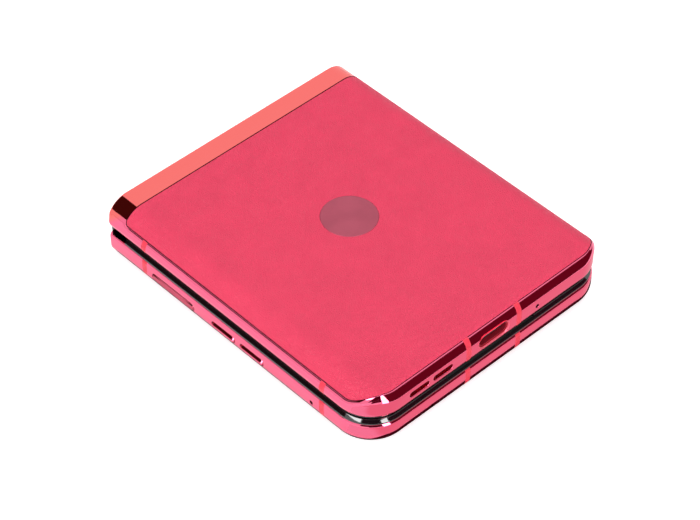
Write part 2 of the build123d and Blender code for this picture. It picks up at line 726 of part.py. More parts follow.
def wing(half_span):
    """A thin plate along the under side of the display's ramp. It tilts flat as the phone opens."""
    drop = (display_thickness + seam) / cos(radians(ramp_angle))
    near_y, far_y = carrier_end + wing_seat_gap, y_axis - wing_reach
    near_top = ramp_start[1] + (near_y - ramp_start[0]) * ramp_slope - drop
    far_top = ramp_start[1] + (far_y - ramp_start[0]) * ramp_slope - drop
    face = section(
        long_point,
        ((near_y, near_top),),
        ((far_y, far_top),),
        ((far_y, far_top - wing_thickness),),
        ((near_y, near_top - wing_thickness),),
    )
    return extrude(Pos(-half_span, 0, 0) * face, amount=2 * half_span, dir=(1, 0, 0))


put("flip_wing_plate", wing(fold_half_span - wing_side_gap))
put("base_wing_plate", to_base(wing(fold_half_span - wing_side_gap)))

# ---------------------------------------------------------------- hinge
gear_half = sector_offset + sector_width  # from a module's middle to the far side of its sectors
bracket_half = tongue_offset + tongue_width + guide_clearance + bracket_cheek
gear_centre = (y_axis + gear_reach, gear_depth)
loop_room = rod(-half_width, half_width, *loop_centre, loop_radius + display_thickness + loop_clearance)

spine_inside = spine_body(spine_wall)
mouth_end = y_axis + spine_mouth_reach
mouth_low, mouth_high = axis_depth - spine_mouth_rise, folded_thickness - axis_depth + spine_mouth_rise
spine_cover = spine_body(0) - spine_inside - loop_room
spine_cover = spine_cover - block(-half_width, half_width, 0, mouth_end, mouth_low, mouth_high)


def span(place, side, near, far):
    """The two ends, along the hinge, of what lies to one side of a module's middle."""
    return sorted((place + side * near, place + side * far))


def long_pin(x, depth, start, end, radius):
    """A cylinder along Y between two distances from the plane of the hinge axes."""
    return Pos(x, y_axis + (start + end) / 2, depth) * Rot(90, 0, 0) * Cylinder(radius, end - start)


def arm_screw_place(place, side):
    """Where an arm is screwed to its carrier plate."""
    return place + side * (sector_offset + tongue_offset + tongue_width) / 2, arm_screw_y


def swing_arm(place, side, phase):
    """One half's arm: a foot under the carrier, a tongue that slides in the bracket and a toothed sector."""
    tongue_x = span(place, side, tongue_offset, tongue_offset + tongue_width)
    sector_x = span(place, side, sector_offset, gear_half)
    arm_x = span(place, side, sector_offset, tongue_offset + tongue_width)
    low, top = axis_depth - arm_fall, axis_depth + arm_rise
    plate_end = y_axis - tongue_outer
    arm = block(*arm_x, foot_start, plate_end, low, top)
    arm = arm + block(*arm_x, foot_start, foot_end, low, carrier_bottom)
    arm = arm + block(*tongue_x, plate_end - arm_lap, y_axis - tongue_inner, low, top)
    arm = arm + ring_sector(*tongue_x, tongue_inner, tongue_outer, -180, tongue_end)
    arm = arm + block(*sector_x, plate_end - arm_lap, y_axis - sector_inner - arm_lap / 2, low, top)
    sector_root = sector_pitch_radius - tooth_dedendum
    sector_end = gear_angle + sector_past_mesh
    arm = arm + ring_sector(*sector_x, sector_inner, sector_root, -180, sector_end)
    for i in range(-sector_teeth_behind, 2):
        angle = gear_angle + (i + phase) * 360 / sector_teeth
        if angle < sector_end + 2:
            arm = arm + tooth(*sector_x, (y_axis, axis_depth), sector_pitch_radius, angle)
    return arm - post(*arm_screw_place(place, side), 0, beyond, screw_shank)


def gear_shaft(place, phase):
    """A small gear on its shaft, in mesh with a sector and with its twin."""
    face_x = span(place, 1, -gear_half - gear_side_gap / 2, gear_half + gear_side_gap / 2)
    gear = rod(*face_x, *gear_centre, gear_pitch_radius - tooth_dedendum)
    for i in range(gear_teeth):
        angle = gear_angle + 180 + (i + 0.5 - phase) * 360 / gear_teeth
        gear = gear + tooth(*face_x, gear_centre, gear_pitch_radius, angle)
    journal = gear_half + journal_length
    return gear + rod(place - journal, place + journal, *gear_centre, gear_shaft_radius)


def spine_screw_places(place):
    """Two screws hold each bracket, one beside each groove."""
    off = tongue_offset + tongue_width / 2
    return ((place - off, z_mid + spine_screw_rise), (place + off, z_mid - spine_screw_rise))


def bracket(place):
    """The block in the spine that guides both halves' tongues and holds the two gear shafts."""
    room_half = gear_half + gear_side_gap
    room_end = y_spine - spine_wall
    body = spine_inside & block(
        place - bracket_half, place + bracket_half, y_axis + bracket_reach, y_spine, 0, folded_thickness
    )
    body = body - block(place - room_half, place + room_half, y_axis, room_end, -1, beyond)
    body = body - loop_room
    groove_inner, groove_outer = tongue_inner - guide_clearance, tongue_outer + guide_clearance
    for side in (-1, 1):
        groove_x = span(place, side, tongue_offset - guide_clearance, bracket_half - bracket_cheek)
        groove = ring_sector(*groove_x, groove_inner, groove_outer, *groove_angles)
        body = body - (groove if side < 0 else to_base(groove))
    journal = gear_half + journal_length + gear_side_gap / 2
    bore = rod(place - journal, place + journal, *gear_centre, gear_shaft_radius + shaft_clearance)
    body = body - bore - to_base(bore)
    for x, depth in spine_screw_places(place):
        body = body - long_pin(x, depth, 0, spine_head_seat, spine_head_radius + guide_clearance)
        body = body - long_pin(x, depth, 0, spine_inner, spine_shank_radius)
    return body


for place in module_places:
    for x, depth in spine_screw_places(place):
        shank = long_pin(x, depth, spine_head_seat - spine_head_height, spine_screw_end, spine_shank_radius)
        head = long_pin(x, depth, spine_head_seat - spine_head_height, spine_head_seat, spine_head_radius)
        spine_cover = spine_cover - shank
        put("spine_screws", head + shank)
    put("hinge_brackets", *bracket(place).solids())
    put("flip_swing_arms", swing_arm(place, -1, 0.0))
    put("base_swing_arms", to_base(swing_arm(place, 1, 0.5)))
    put("sync_gear_flip", gear_shaft(place, 0.0))
    put("sync_gear_base", to_base(gear_shaft(place, 0.5)))
put("spine_cover", spine_cover)

# ---------------------------------------------------------------- side keys
flange_x = -half_width + frame_wall + key_clearance
dome_x = flange_x + key_flange + key_travel + key_rest_gap
strip_x = dome_x + key_dome_thickness
for node, (y, length, height, proud) in KEYS.items():
    stem = key_slot(y, length, height, 0) & block(
        -half_width - proud, flange_x + key_rest_gap, y - length, y + length, 0, half_thickness
    )
    flange_half = length / 2 - key_flange_short
    flange_rise = height / 2 + key_flange_margin
    flange = block(
        flange_x,
        flange_x + key_flange,
        y - flange_half,
        y + flange_half,
        key_depth - flange_rise,
        key_depth + flange_rise,
    )
    put(node, stem + flange)
    dome_y = (y - key_dome_half_length, y + key_dome_half_length)
    dome_z = (key_depth - key_dome_half_height, key_depth + key_dome_half_height)
    put("key_switches", block(dome_x, strip_x, *dome_y, *dome_z))
strip_start = volume_down_y - volume_key_length / 2 - key_strip_margin
strip_end = power_key_y + power_key_length / 2
strip_z = (key_depth - key_strip_half_height, key_depth + key_strip_half_height)
put("key_strip", block(strip_x, strip_x + key_strip_thickness, strip_start, strip_end, *strip_z))

# ---------------------------------------------------------------- shared by both halves
mic_y0 = y_front + frame_wall + seam
side_mic_x0 = -half_width + frame_wall + seam


def board_blank(end, low, high):
    """A board that follows the inside of the frame and stops at a distance from the hinge."""
    face = outline(board_inset, board_inset, end, usb_corner_radius - board_inset, inside_corner_radius)
    blank = prism(face, low, high)
    for x in magnet_places:
        clear = magnet_half + fit_gap
        blank = blank - block(x - clear, x + clear, y_front, magnet_y1 + fit_gap, -1, beyond)
    return blank


def magnets():
    """The two magnets that hold the halves shut."""
    return [
        block(x - magnet_half, x + magnet_half, magnet_y0, magnet_y1, magnet_low, magnet_high)
        for x in magnet_places
    ]


def microphone(x, low, high):
    """A microphone behind a hole in the socket edge."""
    return block(x - mic_half, x + mic_half, mic_y0, mic_y0 + mic_thickness, low, high)


def screw(x, y, seat):
    """A screw that enters from below and ends in the carrier plate."""
    head = post(x, y, seat - head_height, seat, screw_head)
    return head + post(x, y, seat - head_height, carrier_bottom + screw_bite, screw_shank)


def carrier_with_sockets(plate, screw_places, board_high, arm_places):
    """A carrier plate with its screw sockets, and with spacers down to the board."""
    for x, y in screw_places:
        plate = plate + post(x, y, board_high, carrier_bottom, spacer_radius)
    for x, y in (*screw_places, *arm_places):
        plate = plate - post(x, y, 0, carrier_bottom + screw_bite, screw_shank)
    return plate


arm_seat = axis_depth - arm_fall
flip_arm_places = [arm_screw_place(place, -1) for place in module_places]
base_arm_places = [arm_screw_place(place, 1) for place in module_places]

# ---------------------------------------------------------------- inside the flip half
battery_side = -strip_x - key_strip_thickness - fit_gap
board = board_blank(flip_board_end, flip_board_low, flip_board_high)
camera_room = camera_housing_half + fit_gap
for x, y in camera_places:
    board = board - square_block(x, y, camera_room, -1, beyond)
reader_x0 = tray_inner_end - reader_wall - reader_margin
reader_x1 = half_width - frame_wall - fit_gap
reader_y0, reader_y1 = tray_low - reader_margin, tray_high + reader_margin
board = board - block(reader_x0 - fit_gap, half_width, reader_y0 - fit_gap, reader_y1 + fit_gap, -1, beyond)
board = board - block(-half_width, -battery_side, strip_start - fit_gap, 0, -1, beyond)
board = board - square_block(0, inner_camera_y, inner_camera_half + fit_gap, -1, beyond)
earpiece_end = inner_camera_y - inner_camera_half - fit_gap
earpiece_room = earpiece_half + fit_gap
board = board - block(-earpiece_room, earpiece_room, y_front, earpiece_end + fit_gap, -1, beyond)
mic_room = mic_half + fit_gap
board = board - block(
    flip_mic[0] - mic_room, flip_mic[0] + mic_room, y_front, mic_y0 + mic_thickness + fit_gap, -1, beyond
)
board = board - block(
    -half_width,
    side_mic_x0 + mic_thickness + fit_gap,
    side_mic[0] - mic_room,
    side_mic[0] + mic_room,
    -1,
    beyond,
)
for x, y in flip_screw_places:
    board = board - post(x, y, -1, beyond, screw_shank + guide_clearance)
put("main_board", *board.solids())
shield_end = flip_board_end - shield_board_inset
shield_start = shield_end - large_shield[1]
large = block(large_shield[0], reader_x0 - shield_gap, shield_start, shield_end, shield_low, flip_board_low)
small_x0, small_y1 = shield_side_inset - half_width, shield_start - shield_spacing
small_x1, small_y0 = small_x0 + small_shield[0], small_y1 - small_shield[1]
small = block(small_x0, small_x1, small_y0, small_y1, shield_low, flip_board_low)
put("board_shields", large, small)

flip_carrier = carrier_with_sockets(carrier(), flip_screw_places, flip_board_high, flip_arm_places)
put("flip_carrier_plate", flip_carrier - lens_hole)
put("flip_screws", *(screw(x, y, flip_board_low) for x, y in flip_screw_places))
put("flip_screws", *(screw(x, y, arm_seat) for x, y in flip_arm_places))

battery_top = carrier_bottom - fit_gap
battery_low = panel_low + panel_thickness + 2 * fit_gap
put(
    "flip_battery",
    block(
        -battery_side, battery_side, flip_board_end + board_battery_gap, battery_end, battery_low, battery_top
    ),
)
lens = post(0, inner_camera_y, inner_camera_high, display_depth - 0.1, inner_lens_radius)
housing = square_block(0, inner_camera_y, inner_camera_half, inner_camera_low, inner_camera_high)
put("inner_camera", lens + housing)
put(
    "earpiece_speaker",
    block(-earpiece_half, earpiece_half, mic_y0, earpiece_end, earpiece_low, carrier_bottom - seam),
)
put("flip_magnets", *magnets())
put("flip_microphones", microphone(flip_mic[0], mic_low, flip_board_high))
put(
    "flip_microphones",
    block(
        side_mic_x0,
        side_mic_x0 + mic_thickness,
        side_mic[0] - mic_half,
        side_mic[0] + mic_half,
        mic_low,
        flip_board_high,
    ),
)

tray_face_x = half_width - frame_wall
tray = flip_envelope & block(tray_face_x, half_width + 1, tray_low, tray_high, tray_under, tray_over)
tray = tray + block(tray_inner_end, tray_face_x, tray_low, tray_high, tray_under, tray_over)
card_x = tray_inner_end + tray_rim
card_floor = tray_under + tray_floor
tray = tray - block(
    card_x, card_x + card_length, tray_low + tray_rim, tray_high - tray_rim, card_floor, beyond
)
put("sim_tray", tray)
reader_low, reader_high = tray_under - tray_clearance, tray_over + tray_clearance
reader = block(
    reader_x0, reader_x1, reader_y0, reader_y1, reader_low - reader_wall, reader_high + reader_wall
)
put(
    "sim_reader",
    reader
    - block(
        reader_x0 + reader_wall,
        half_width,
        tray_low - tray_clearance,
        tray_high + tray_clearance,
        reader_low,
        reader_high,
    ),
)

# ---------------------------------------------------------------- inside the base half
coil_low = cover_stack + seam
coil_high = coil_low + coil_thickness
coil = post(0, coil_y, coil_low, coil_high, coil_outer) - post(0, coil_y, 0, beyond, coil_inner)
put("charging_coil", to_base(coil))
pack_half = half_width - frame_wall - base_battery_wall_gap
pack_start = base_board_end + board_battery_gap
pack = block(-pack_half, pack_half, pack_start, battery_end, coil_high + seam, battery_top)
put("base_battery", to_base(pack))

usb_back = y_front + usb_shell_inset + usb_shell_length
usb_outer = (usb_width - fit_gap, usb_height - fit_gap)
usb_bore = (usb_outer[0] - 2 * usb_shell_wall, usb_outer[1] - 2 * usb_shell_wall)
usb_floor = usb_back - usb_shell_back
shell = stadium(*usb_outer, y_front + usb_shell_inset, usb_back, 0, usb_depth)
put("usb_socket", to_base(shell - stadium(*usb_bore, y_front, usb_floor, 0, usb_depth)))
blade_z = (usb_depth - usb_blade_thickness / 2, usb_depth + usb_blade_thickness / 2)
blade = block(-usb_blade_half, usb_blade_half, y_front + usb_blade_inset, usb_floor, *blade_z)
put("usb_contact_blade", to_base(blade))

part_low, part_high = coil_high + fit_gap, carrier_bottom - fit_gap / 2
speaker_y0 = magnet_y1 + fit_gap
speaker = block(speaker_x0, speaker_x1, speaker_y0, speaker_end, part_low, part_high)
speaker = speaker & inset_prism(frame_wall + fit_gap, cover_end, 0, half_thickness)
put("loudspeaker", to_base(speaker))
mesh_rise = slot_height / 2 + mesh_margin
mesh_x = (speaker_slots[0][0] - mesh_margin, speaker_slots[1][1] + mesh_margin)
mesh = block(*mesh_x, mic_y0, mic_y0 + mesh_thickness, slot_depth - mesh_rise, slot_depth + mesh_rise)
put("speaker_mesh", to_base(mesh))
put("vibration_motor", to_base(square_block(motor_x, motor_y, motor_half, part_low, part_high)))
put("base_microphone", to_base(microphone(base_mic[0], mic_low, base_board_low)))
put("base_magnets", *(to_base(magnet) for magnet in magnets()))

board = board_blank(base_board_end, base_board_low, base_board_high)
board = board - block(speaker_x0 - fit_gap, speaker_x1 + fit_gap, y_front, speaker_end + fit_gap, -1, beyond)
usb_room = usb_outer[0] / 2 + fit_gap
board = board - block(-usb_room, usb_room, y_front, usb_back + fit_gap, -1, beyond)
board = board - square_block(motor_x, motor_y, motor_half + fit_gap, -1, beyond)
for x, y in base_screw_places:
    board = board - post(x, y, -1, beyond, screw_shank + guide_clearance)
put("lower_board", *(to_base(solid) for solid in board.solids()))
base_carrier = carrier_with_sockets(carrier(), base_screw_places, base_board_high, base_arm_places)
put("base_carrier_plate", to_base(base_carrier))
put("base_screws", *(to_base(screw(x, y, base_board_low)) for x, y in base_screw_places))
put("base_screws", *(to_base(screw(x, y, arm_seat)) for x, y in base_arm_places))

# ---------------------------------------------------------------- write one file per node
os.makedirs("parts", exist_ok=True)
for node, solids in PARTS.items():
    shape = solids[0] if len(solids) == 1 else Compound(children=list(solids))
    export_step(shape, f"parts/{node}.step")
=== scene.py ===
import bmesh
import bpy
import numpy as np
from mathutils import Matrix


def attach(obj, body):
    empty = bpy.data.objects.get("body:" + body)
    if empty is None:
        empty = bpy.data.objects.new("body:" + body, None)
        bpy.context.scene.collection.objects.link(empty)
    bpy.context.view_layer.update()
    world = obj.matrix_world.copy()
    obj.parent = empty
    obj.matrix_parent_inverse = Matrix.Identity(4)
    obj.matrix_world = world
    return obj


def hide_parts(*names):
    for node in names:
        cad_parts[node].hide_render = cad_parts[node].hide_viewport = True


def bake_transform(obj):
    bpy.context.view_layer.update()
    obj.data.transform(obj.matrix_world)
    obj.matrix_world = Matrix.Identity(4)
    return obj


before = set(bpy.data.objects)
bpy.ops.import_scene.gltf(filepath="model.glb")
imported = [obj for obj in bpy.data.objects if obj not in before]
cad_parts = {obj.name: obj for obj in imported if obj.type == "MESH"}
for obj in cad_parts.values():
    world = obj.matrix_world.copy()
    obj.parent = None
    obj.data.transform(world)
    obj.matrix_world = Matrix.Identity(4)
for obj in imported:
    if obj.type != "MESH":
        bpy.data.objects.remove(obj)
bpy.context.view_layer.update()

# ---------------------------------------------------------------- metal frames
# Each half has a rim of aluminium with a flat rail along the hinge. It is milled from one block, polished
# like a mirror and anodised pink, and all the openings are cut through it afterwards.
SIDE, SOCKET_END, HINGE_END = 36.995, -44.045, 41.625  # millimetres, as every size in this file
NEAR_RADIUS, FAR_RADIUS = 9.26, 1.3  # of the corners in plan
CLOSED_HEIGHT, HALF_HEIGHT, FLIP_FOOT = 15.32, 7.09, 6.62
AXIS_Y, AXIS_DEPTH = 39.385, 5.38  # the hinge axis, as depth below a half's outer face
COVER_END, RAIL_EDGE = 36.17, 0.5
ROLL_WIDTH, ROLL_RADIUS, EDGE_ROUND, GLASS_ROUND = 6.0, 5.8459, 2.5, 3.68  # how the outer faces roll down
BULGE_DEPTH, BULGE_RADIUS = 5.0, 2.2  # the base half's widest line
MOUTH_WIDTH, MOUTH_HEIGHT, MOUTH_LEVEL = 9.0, 3.3, 11.7
POWER_Y, VOLUME_UP_Y, VOLUME_DOWN_Y, SLOT_LEVEL = 19.1, 2.27, -7.06, 3.8
PINHOLE = (1.0, 0.999)  # a microphone's hole, as a slot's width and height


def ease(t):
    """Rises from 0 to 1 with level ends: three t squared less two t cubed, t held between 0 and 1."""
    t = np.clip(t, 0.0, 1.0)
    return t * t * (3.0 - 2.0 * t)


def round_off(reach, radius):
    """Depth of a round: radius less the root of radius squared less reach squared, and at most the radius."""
    t = np.clip(reach, 0.0, radius)
    return radius - np.sqrt(radius**2 - t**2)


def blended(a, b, share):
    """A straight mix of two arrays: the first less its share plus the second's share."""
    return a + (b - a) * share


def rim_rows(side, near, far, near_radius, far_radius):
    """A rounded rectangle in plan as rows, anticlockwise. A row is a centre, a radius and an angle, and its
    point is the centre plus the radius along the angle. Straight rows slide the centre and corner rows turn
    the angle. Every rectangle has the same rows, so rims can be joined row by row. The antenna bands lie
    between the straight rows that are 1.5 mm apart."""
    near_x, near_y = side - near_radius, near + near_radius
    far_x, far_y = side - far_radius, far - far_radius
    front = np.array([0.0, 4.0, 6.95, 8.45, 13.0, 19.0, 25.0])
    along = np.array([-33.5, -30.05, -28.55, -22.0, -12.0, -2.0, 8.0, 18.0, 28.05, 29.55, 33.0])
    hinge = np.concatenate([blended(far_x, 30.0, np.linspace(0.0, 1.0, 25)[1:]), [22.0, 12.0, 0.0]])
    near_turn, far_turn = np.linspace(-90.0, 0.0, 46), np.linspace(0.0, 90.0, 25)
    toward_far = blended(along[-1], far_y, np.linspace(0.1, 0.9, 9))
    x = np.concatenate([front, near_x + 0 * near_turn, far_x + 0 * along, far_x + 0 * toward_far])
    x = np.concatenate([x, far_x + 0 * far_turn, hinge])
    y = np.concatenate([near_y + 0 * front, near_y + 0 * near_turn, along, toward_far])
    y = np.concatenate([y, far_y + 0 * far_turn, far_y + 0 * hinge])
    angle = np.concatenate([-90 + 0 * front, near_turn, 0 * along, 0 * toward_far, far_turn, 90 + 0 * hinge])
    radius = np.where(np.arange(len(x)) < len(front) + len(near_turn), near_radius, far_radius)
    back = slice(-2, 0, -1)
    return (
        np.concatenate([x, -x[back]]),
        np.concatenate([y, y[back]]),
        np.concatenate([radius, radius[back]]),
        np.radians(np.concatenate([angle, 180.0 - angle[back]])),
    )


def rim_points(rows, inset=0.0):
    """The plan points of a rim drawn in by an inset. A corner's radius shrinks by the inset down to 0.2
    mm, and past that the corner's centre moves in instead."""
    x, y, radius, angle = rows
    along_x, along_y = np.round(np.cos(angle), 12), np.round(np.sin(angle), 12)
    reach = np.where(radius > 0.2, np.maximum(radius - inset, 0.2), radius - inset)
    slip = reach - (radius - inset)
    return x + reach * along_x - slip * np.sign(along_x), y + reach * along_y - slip * np.sign(along_y)


def cover_points(rows, cover):
    """The plan points of a cover's outline beside a rim's rows. Before the socket edge and round the near
    corners each lies where the row's normal, run out from its centre, meets the outline: on the front line
    or the side line, or else on the cover's own corner circle."""
    x, y, radius, angle = rows
    centre_x, centre_y, cover_radius, _ = cover
    plan_x, plan_y = rim_points(cover)
    near = radius == NEAR_RADIUS
    x, y, centre_x, centre_y, cover_radius, angle = (
        value[near] for value in (np.abs(x), y, np.abs(centre_x), centre_y, cover_radius, angle))
    along_x, along_y = np.maximum(np.abs(np.cos(angle)), 1e-9), np.minimum(np.sin(angle), -1e-9)
    ahead = (centre_x - x) * along_x + (centre_y - y) * along_y
    apart = (centre_x - x) ** 2 + (centre_y - y) ** 2
    to_circle = ahead + np.sqrt(cover_radius**2 - apart + ahead**2)
    to_front, to_side = (centre_y - cover_radius - y) / along_y, (centre_x + cover_radius - x) / along_x
    reach = np.where(x + to_front * along_x < centre_x, to_front, to_circle)
    reach = np.where(y + to_side * along_y > centre_y, to_side, reach)
    plan_x[near], plan_y[near] = np.sign(plan_x[near]) * (x + reach * along_x), y + reach * along_y
    return plan_x, plan_y


def back_depth(x, y):
    """How far the base half's back has rolled down: a round to each side and one to the socket edge."""
    sides = round_off(ROLL_WIDTH - (SIDE - np.abs(x)), ROLL_RADIUS)
    return sides + round_off(EDGE_ROUND - (y - SOCKET_END), EDGE_ROUND)


def glass_depth(x, y):
    """The same for the flip half: one round that runs evenly along the rim and round its near corners."""
    beside = np.clip(np.abs(x) - (SIDE - NEAR_RADIUS), 0.0, None)
    before = np.clip(SOCKET_END + NEAR_RADIUS - y, 0.0, None)
    return round_off(GLASS_ROUND - NEAR_RADIUS + np.hypot(beside, before), GLASS_ROUND)


def straight_then_round(u, bend_at, start, bend, radius, sweep):
    """A wall that runs straight down to a round: depth goes evenly from start to bend, and then inset and
    depth follow a circle that leans inwards through the sweep, in degrees."""
    turn = np.radians(sweep) * np.clip((u - bend_at) / (1 - bend_at), 0.0, 1.0)
    depth = blended(start, bend, np.clip(u / bend_at, 0.0, 1.0)) - radius * np.sin(turn)
    return radius - radius * np.cos(turn), depth


def rim_wall(rows, cover_rows, depth_at, shoulder, bulged):
    """The outside of a rim from its foot near the closing plane up to its crest, as inset and depth for
    every row and step. Side, socket-edge and hinge profiles are mixed by how far each corner has turned,
    and the crest is then drawn to the cover's own edge and to the depth of the back there. The shoulder
    gives the depth where its round starts, the round's radius and turn, and how far the hinge end's own
    round turns. Past the cover's end a bulged side gives way to the back's own round."""
    x, y, radius, angle = rows
    turned = np.degrees(np.where(angle > np.pi / 2, np.pi - angle, angle))
    socket = ease(-turned / 50.0)[:, None]
    hinge = ease(turned / 90.0)[:, None]
    low, high = np.linspace(0.0, 1.0, 18)[None, :], np.linspace(0.0, 1.0, 26)[None, :]

    cover_x, cover_y = cover_points(rows, cover_rows)
    lip = radius - ((cover_x - x) * np.cos(angle) + (cover_y - y) * np.sin(angle)) - 0.02
    side_lip = lip[len(lip) // 4]  # any row on the straight side
    crest = np.where(turned > 0, blended(side_lip, RAIL_EDGE, hinge[:, 0]), lip)[:, None]
    crest_x, crest_y = rim_points(rows, crest[:, 0])
    crest_depth = depth_at(crest_x, crest_y)[:, None]

    bend, bend_radius, sweep, end_sweep = shoulder
    shoulder_inset, shoulder_depth = straight_then_round(1 - low, 0.3, 4.2, bend, bend_radius, -sweep)
    axis_inset, axis_depth = straight_then_round(1 - low, 0.15, 4.9, AXIS_DEPTH, 2.24, -end_sweep)
    if bulged:
        lean = np.radians(66.66) * (1 - low)
        side_inset = BULGE_RADIUS - BULGE_RADIUS * np.cos(lean)
        side_depth = BULGE_DEPTH + BULGE_RADIUS * np.sin(lean)
        lean = np.radians(46.66) * high
        upper_inset = BULGE_RADIUS - BULGE_RADIUS * np.cos(lean)
        upper_depth = BULGE_DEPTH - BULGE_RADIUS * np.sin(lean)
        past_cover = ease((y[:, None] - 34.4) / 2.6)
        roll_depth = blended(BULGE_DEPTH, 3.36, high)
        roll_inset = ROLL_WIDTH - np.sqrt(ROLL_RADIUS**2 - (ROLL_RADIUS - roll_depth) ** 2)
        roll_inset = roll_inset - 0.2156 * (1 - high) ** 2  # which brings its foot out to the widest line
        upper_inset = blended(upper_inset, roll_inset, past_cover)
        upper_depth = blended(upper_depth, roll_depth, past_cover)
        edge_inset, edge_depth = straight_then_round(high, 0.25, 4.2, EDGE_ROUND, EDGE_ROUND, 52.6)
    else:
        side_inset, side_depth = shoulder_inset, shoulder_depth
        edge_inset, edge_depth = straight_then_round(high, 0.1, 4.2, GLASS_ROUND, GLASS_ROUND, 53.3)
        upper_inset, upper_depth = edge_inset, edge_depth
    rail_inset, rail_depth = straight_then_round(high, 0.4, 4.9, crest_depth + RAIL_EDGE, RAIL_EDGE, 90.0)

    low_inset = blended(blended(side_inset, shoulder_inset, socket), axis_inset, hinge)
    low_depth = blended(blended(side_depth, shoulder_depth, socket), axis_depth, hinge)
    high_inset = blended(blended(upper_inset, edge_inset, socket), rail_inset, hinge)
    high_depth = blended(blended(upper_depth, edge_depth, socket), rail_depth, hinge)
    rise = ease(high)
    high_inset = high_inset + (crest - high_inset[:, -1:]) * rise
    high_depth = high_depth + (crest_depth - high_depth[:, -1:]) * rise
    inset = np.concatenate([low_inset, high_inset[:, 1:]], axis=1)
    depth = np.concatenate([low_depth, high_depth[:, 1:]], axis=1)
    return inset, depth


def to_height(depth, on_base):
    """Depth below a half's own outer face as height above the table."""
    return CLOSED_HEIGHT - depth if on_base else depth


def on_rim(rows, inset, depth, on_base):
    """Points in space for an inset and a depth at every row and step."""
    x, y, radius, angle = (part[:, None] for part in rows)
    plan_x, plan_y = rim_points((x, y, radius, angle), inset)
    return np.stack([plan_x, plan_y, to_height(depth, on_base)], axis=-1)


def grid_faces(shape, closed_rows=False, closed_columns=False):
    """The four-sided faces of a grid: each joins a point to its next neighbours in both directions, and a
    closed direction runs on from its last line to its first."""
    index = np.arange(shape[0] * shape[1]).reshape(shape[0], shape[1])
    if closed_rows:
        index = np.vstack([index, index[:1]])
    if closed_columns:
        index = np.hstack([index, index[:, :1]])
    corners = (index[:-1, :-1], index[1:, :-1], index[1:, 1:], index[:-1, 1:])
    return np.stack(corners, axis=-1).reshape(-1, 4)


def shade(piece, sharp):
    """Smooth shading that stays crisp wherever two faces meet at more than the sharp angle, in degrees."""
    piece.data.shade_smooth()
    piece.data.set_sharp_from_angle(angle=np.radians(sharp))


def make_piece(name, *surfaces, sharp=32.0):
    """One mesh from several surfaces, each a grid of points in millimetres with its faces. Points that
    coincide become one and the faces are turned outwards."""
    points, faces, count = [], [], 0
    for grid, joined in surfaces:
        points.append(grid.reshape(-1, 3) * 0.001)
        faces.append(joined + count)
        count += len(points[-1])
    mesh = bpy.data.meshes.new(name)
    mesh.from_pydata(np.concatenate(points).tolist(), [], np.concatenate(faces).tolist())
    work = bmesh.new()
    work.from_mesh(mesh)
    bmesh.ops.remove_doubles(work, verts=work.verts, dist=2e-7)
    bmesh.ops.recalc_face_normals(work, faces=work.faces)
    work.to_mesh(mesh)
    work.free()
    piece = bpy.data.objects.new(name, mesh)
    bpy.context.scene.collection.objects.link(piece)
    shade(piece, sharp)
    return piece


def capped(loops):
    """A closed solid from a stack of closed loops, whose first and last are drawn to their middles."""
    first, last = loops[:1].mean(axis=1, keepdims=True), loops[-1:].mean(axis=1, keepdims=True)
    ends = (np.repeat(first, loops.shape[1], axis=1), np.repeat(last, loops.shape[1], axis=1))
    grid = np.concatenate([ends[0], loops, ends[1]])
    return grid, grid_faces(grid.shape, closed_columns=True)


def cut(piece, *tools, sharp=32.0):
    """Takes the tools' shapes out of a piece, one after another, and keeps the finished mesh alone."""
    for tool in tools:
        step = piece.modifiers.new("cut", "BOOLEAN")
        step.operation, step.solver, step.object = "DIFFERENCE", "MANIFOLD", tool
    rough = piece.data
    finished = bpy.data.meshes.new_from_object(piece.evaluated_get(bpy.context.evaluated_depsgraph_get()))
    piece.modifiers.clear()
    piece.data = finished
    bpy.data.meshes.remove(rough)
    for tool in tools:
        bpy.data.meshes.remove(tool.data)
    shade(piece, sharp)
    return piece


def stadium_loop(width, height, grow, steps=40):
    """A slot's outline round its own middle: two half circles and straight sides, all drawn out by grow."""
    turn = np.linspace(0.0, 2 * np.pi, steps, endpoint=False) + 1e-4
    radius = height / 2 + grow
    shift = (width - height) / 2 * np.sign(np.cos(turn))
    return shift + radius * np.cos(turn), radius * np.sin(turn)


def flared_slot(width, height, flare, steps, through):
    """A slot's loops from outside the wall to its inside: along the wall, into it and up it. The mouth
    opens by a round of the flare's size, or by a flat chamfer where the round has two steps."""
    lean = np.linspace(0.0, np.pi / 2, steps)
    grow = np.concatenate([[flare], flare * (1 - np.sin(lean)), [0.0]])
    reach = np.concatenate([[-2.0], flare * (1 - np.cos(lean)), [through]])
    along, up = (np.stack(part) for part in zip(*(stadium_loop(width, height, out) for out in grow)))
    return along, reach[:, None] + 0 * along, up


def socket_edge_tool(name, x, z, width, height, flare, steps=7):
    """A slot through the socket edge."""
    along, far, up = flared_slot(width, height, flare, steps, 4.2)
    return make_piece(name, capped(np.stack([x + along, SOCKET_END + far, z + up], axis=-1)))


def side_tool(name, side, y, z, width, height, flare):
    """A slot through a long side, which lies at the given x."""
    along, far, up = flared_slot(width, height, flare, 5, 3.5)
    return make_piece(name, capped(np.stack([side - np.sign(side) * far, y + along, z + up], axis=-1)))


def bezel_seat_tool(name, inset, on_base):
    """The step that a bezel's foot sits in: a flat rounded plate past the closing plane."""
    rows = rim_rows(SIDE - inset, SOCKET_END + inset, 35.93, NEAR_RADIUS - inset, 0.6)
    x, y = rim_points(rows)
    plates = [np.stack([x, y, to_height(depth + 0 * x, on_base)], axis=-1) for depth in (6.57, 9.0)]
    return make_piece(name, capped(np.stack(plates)))


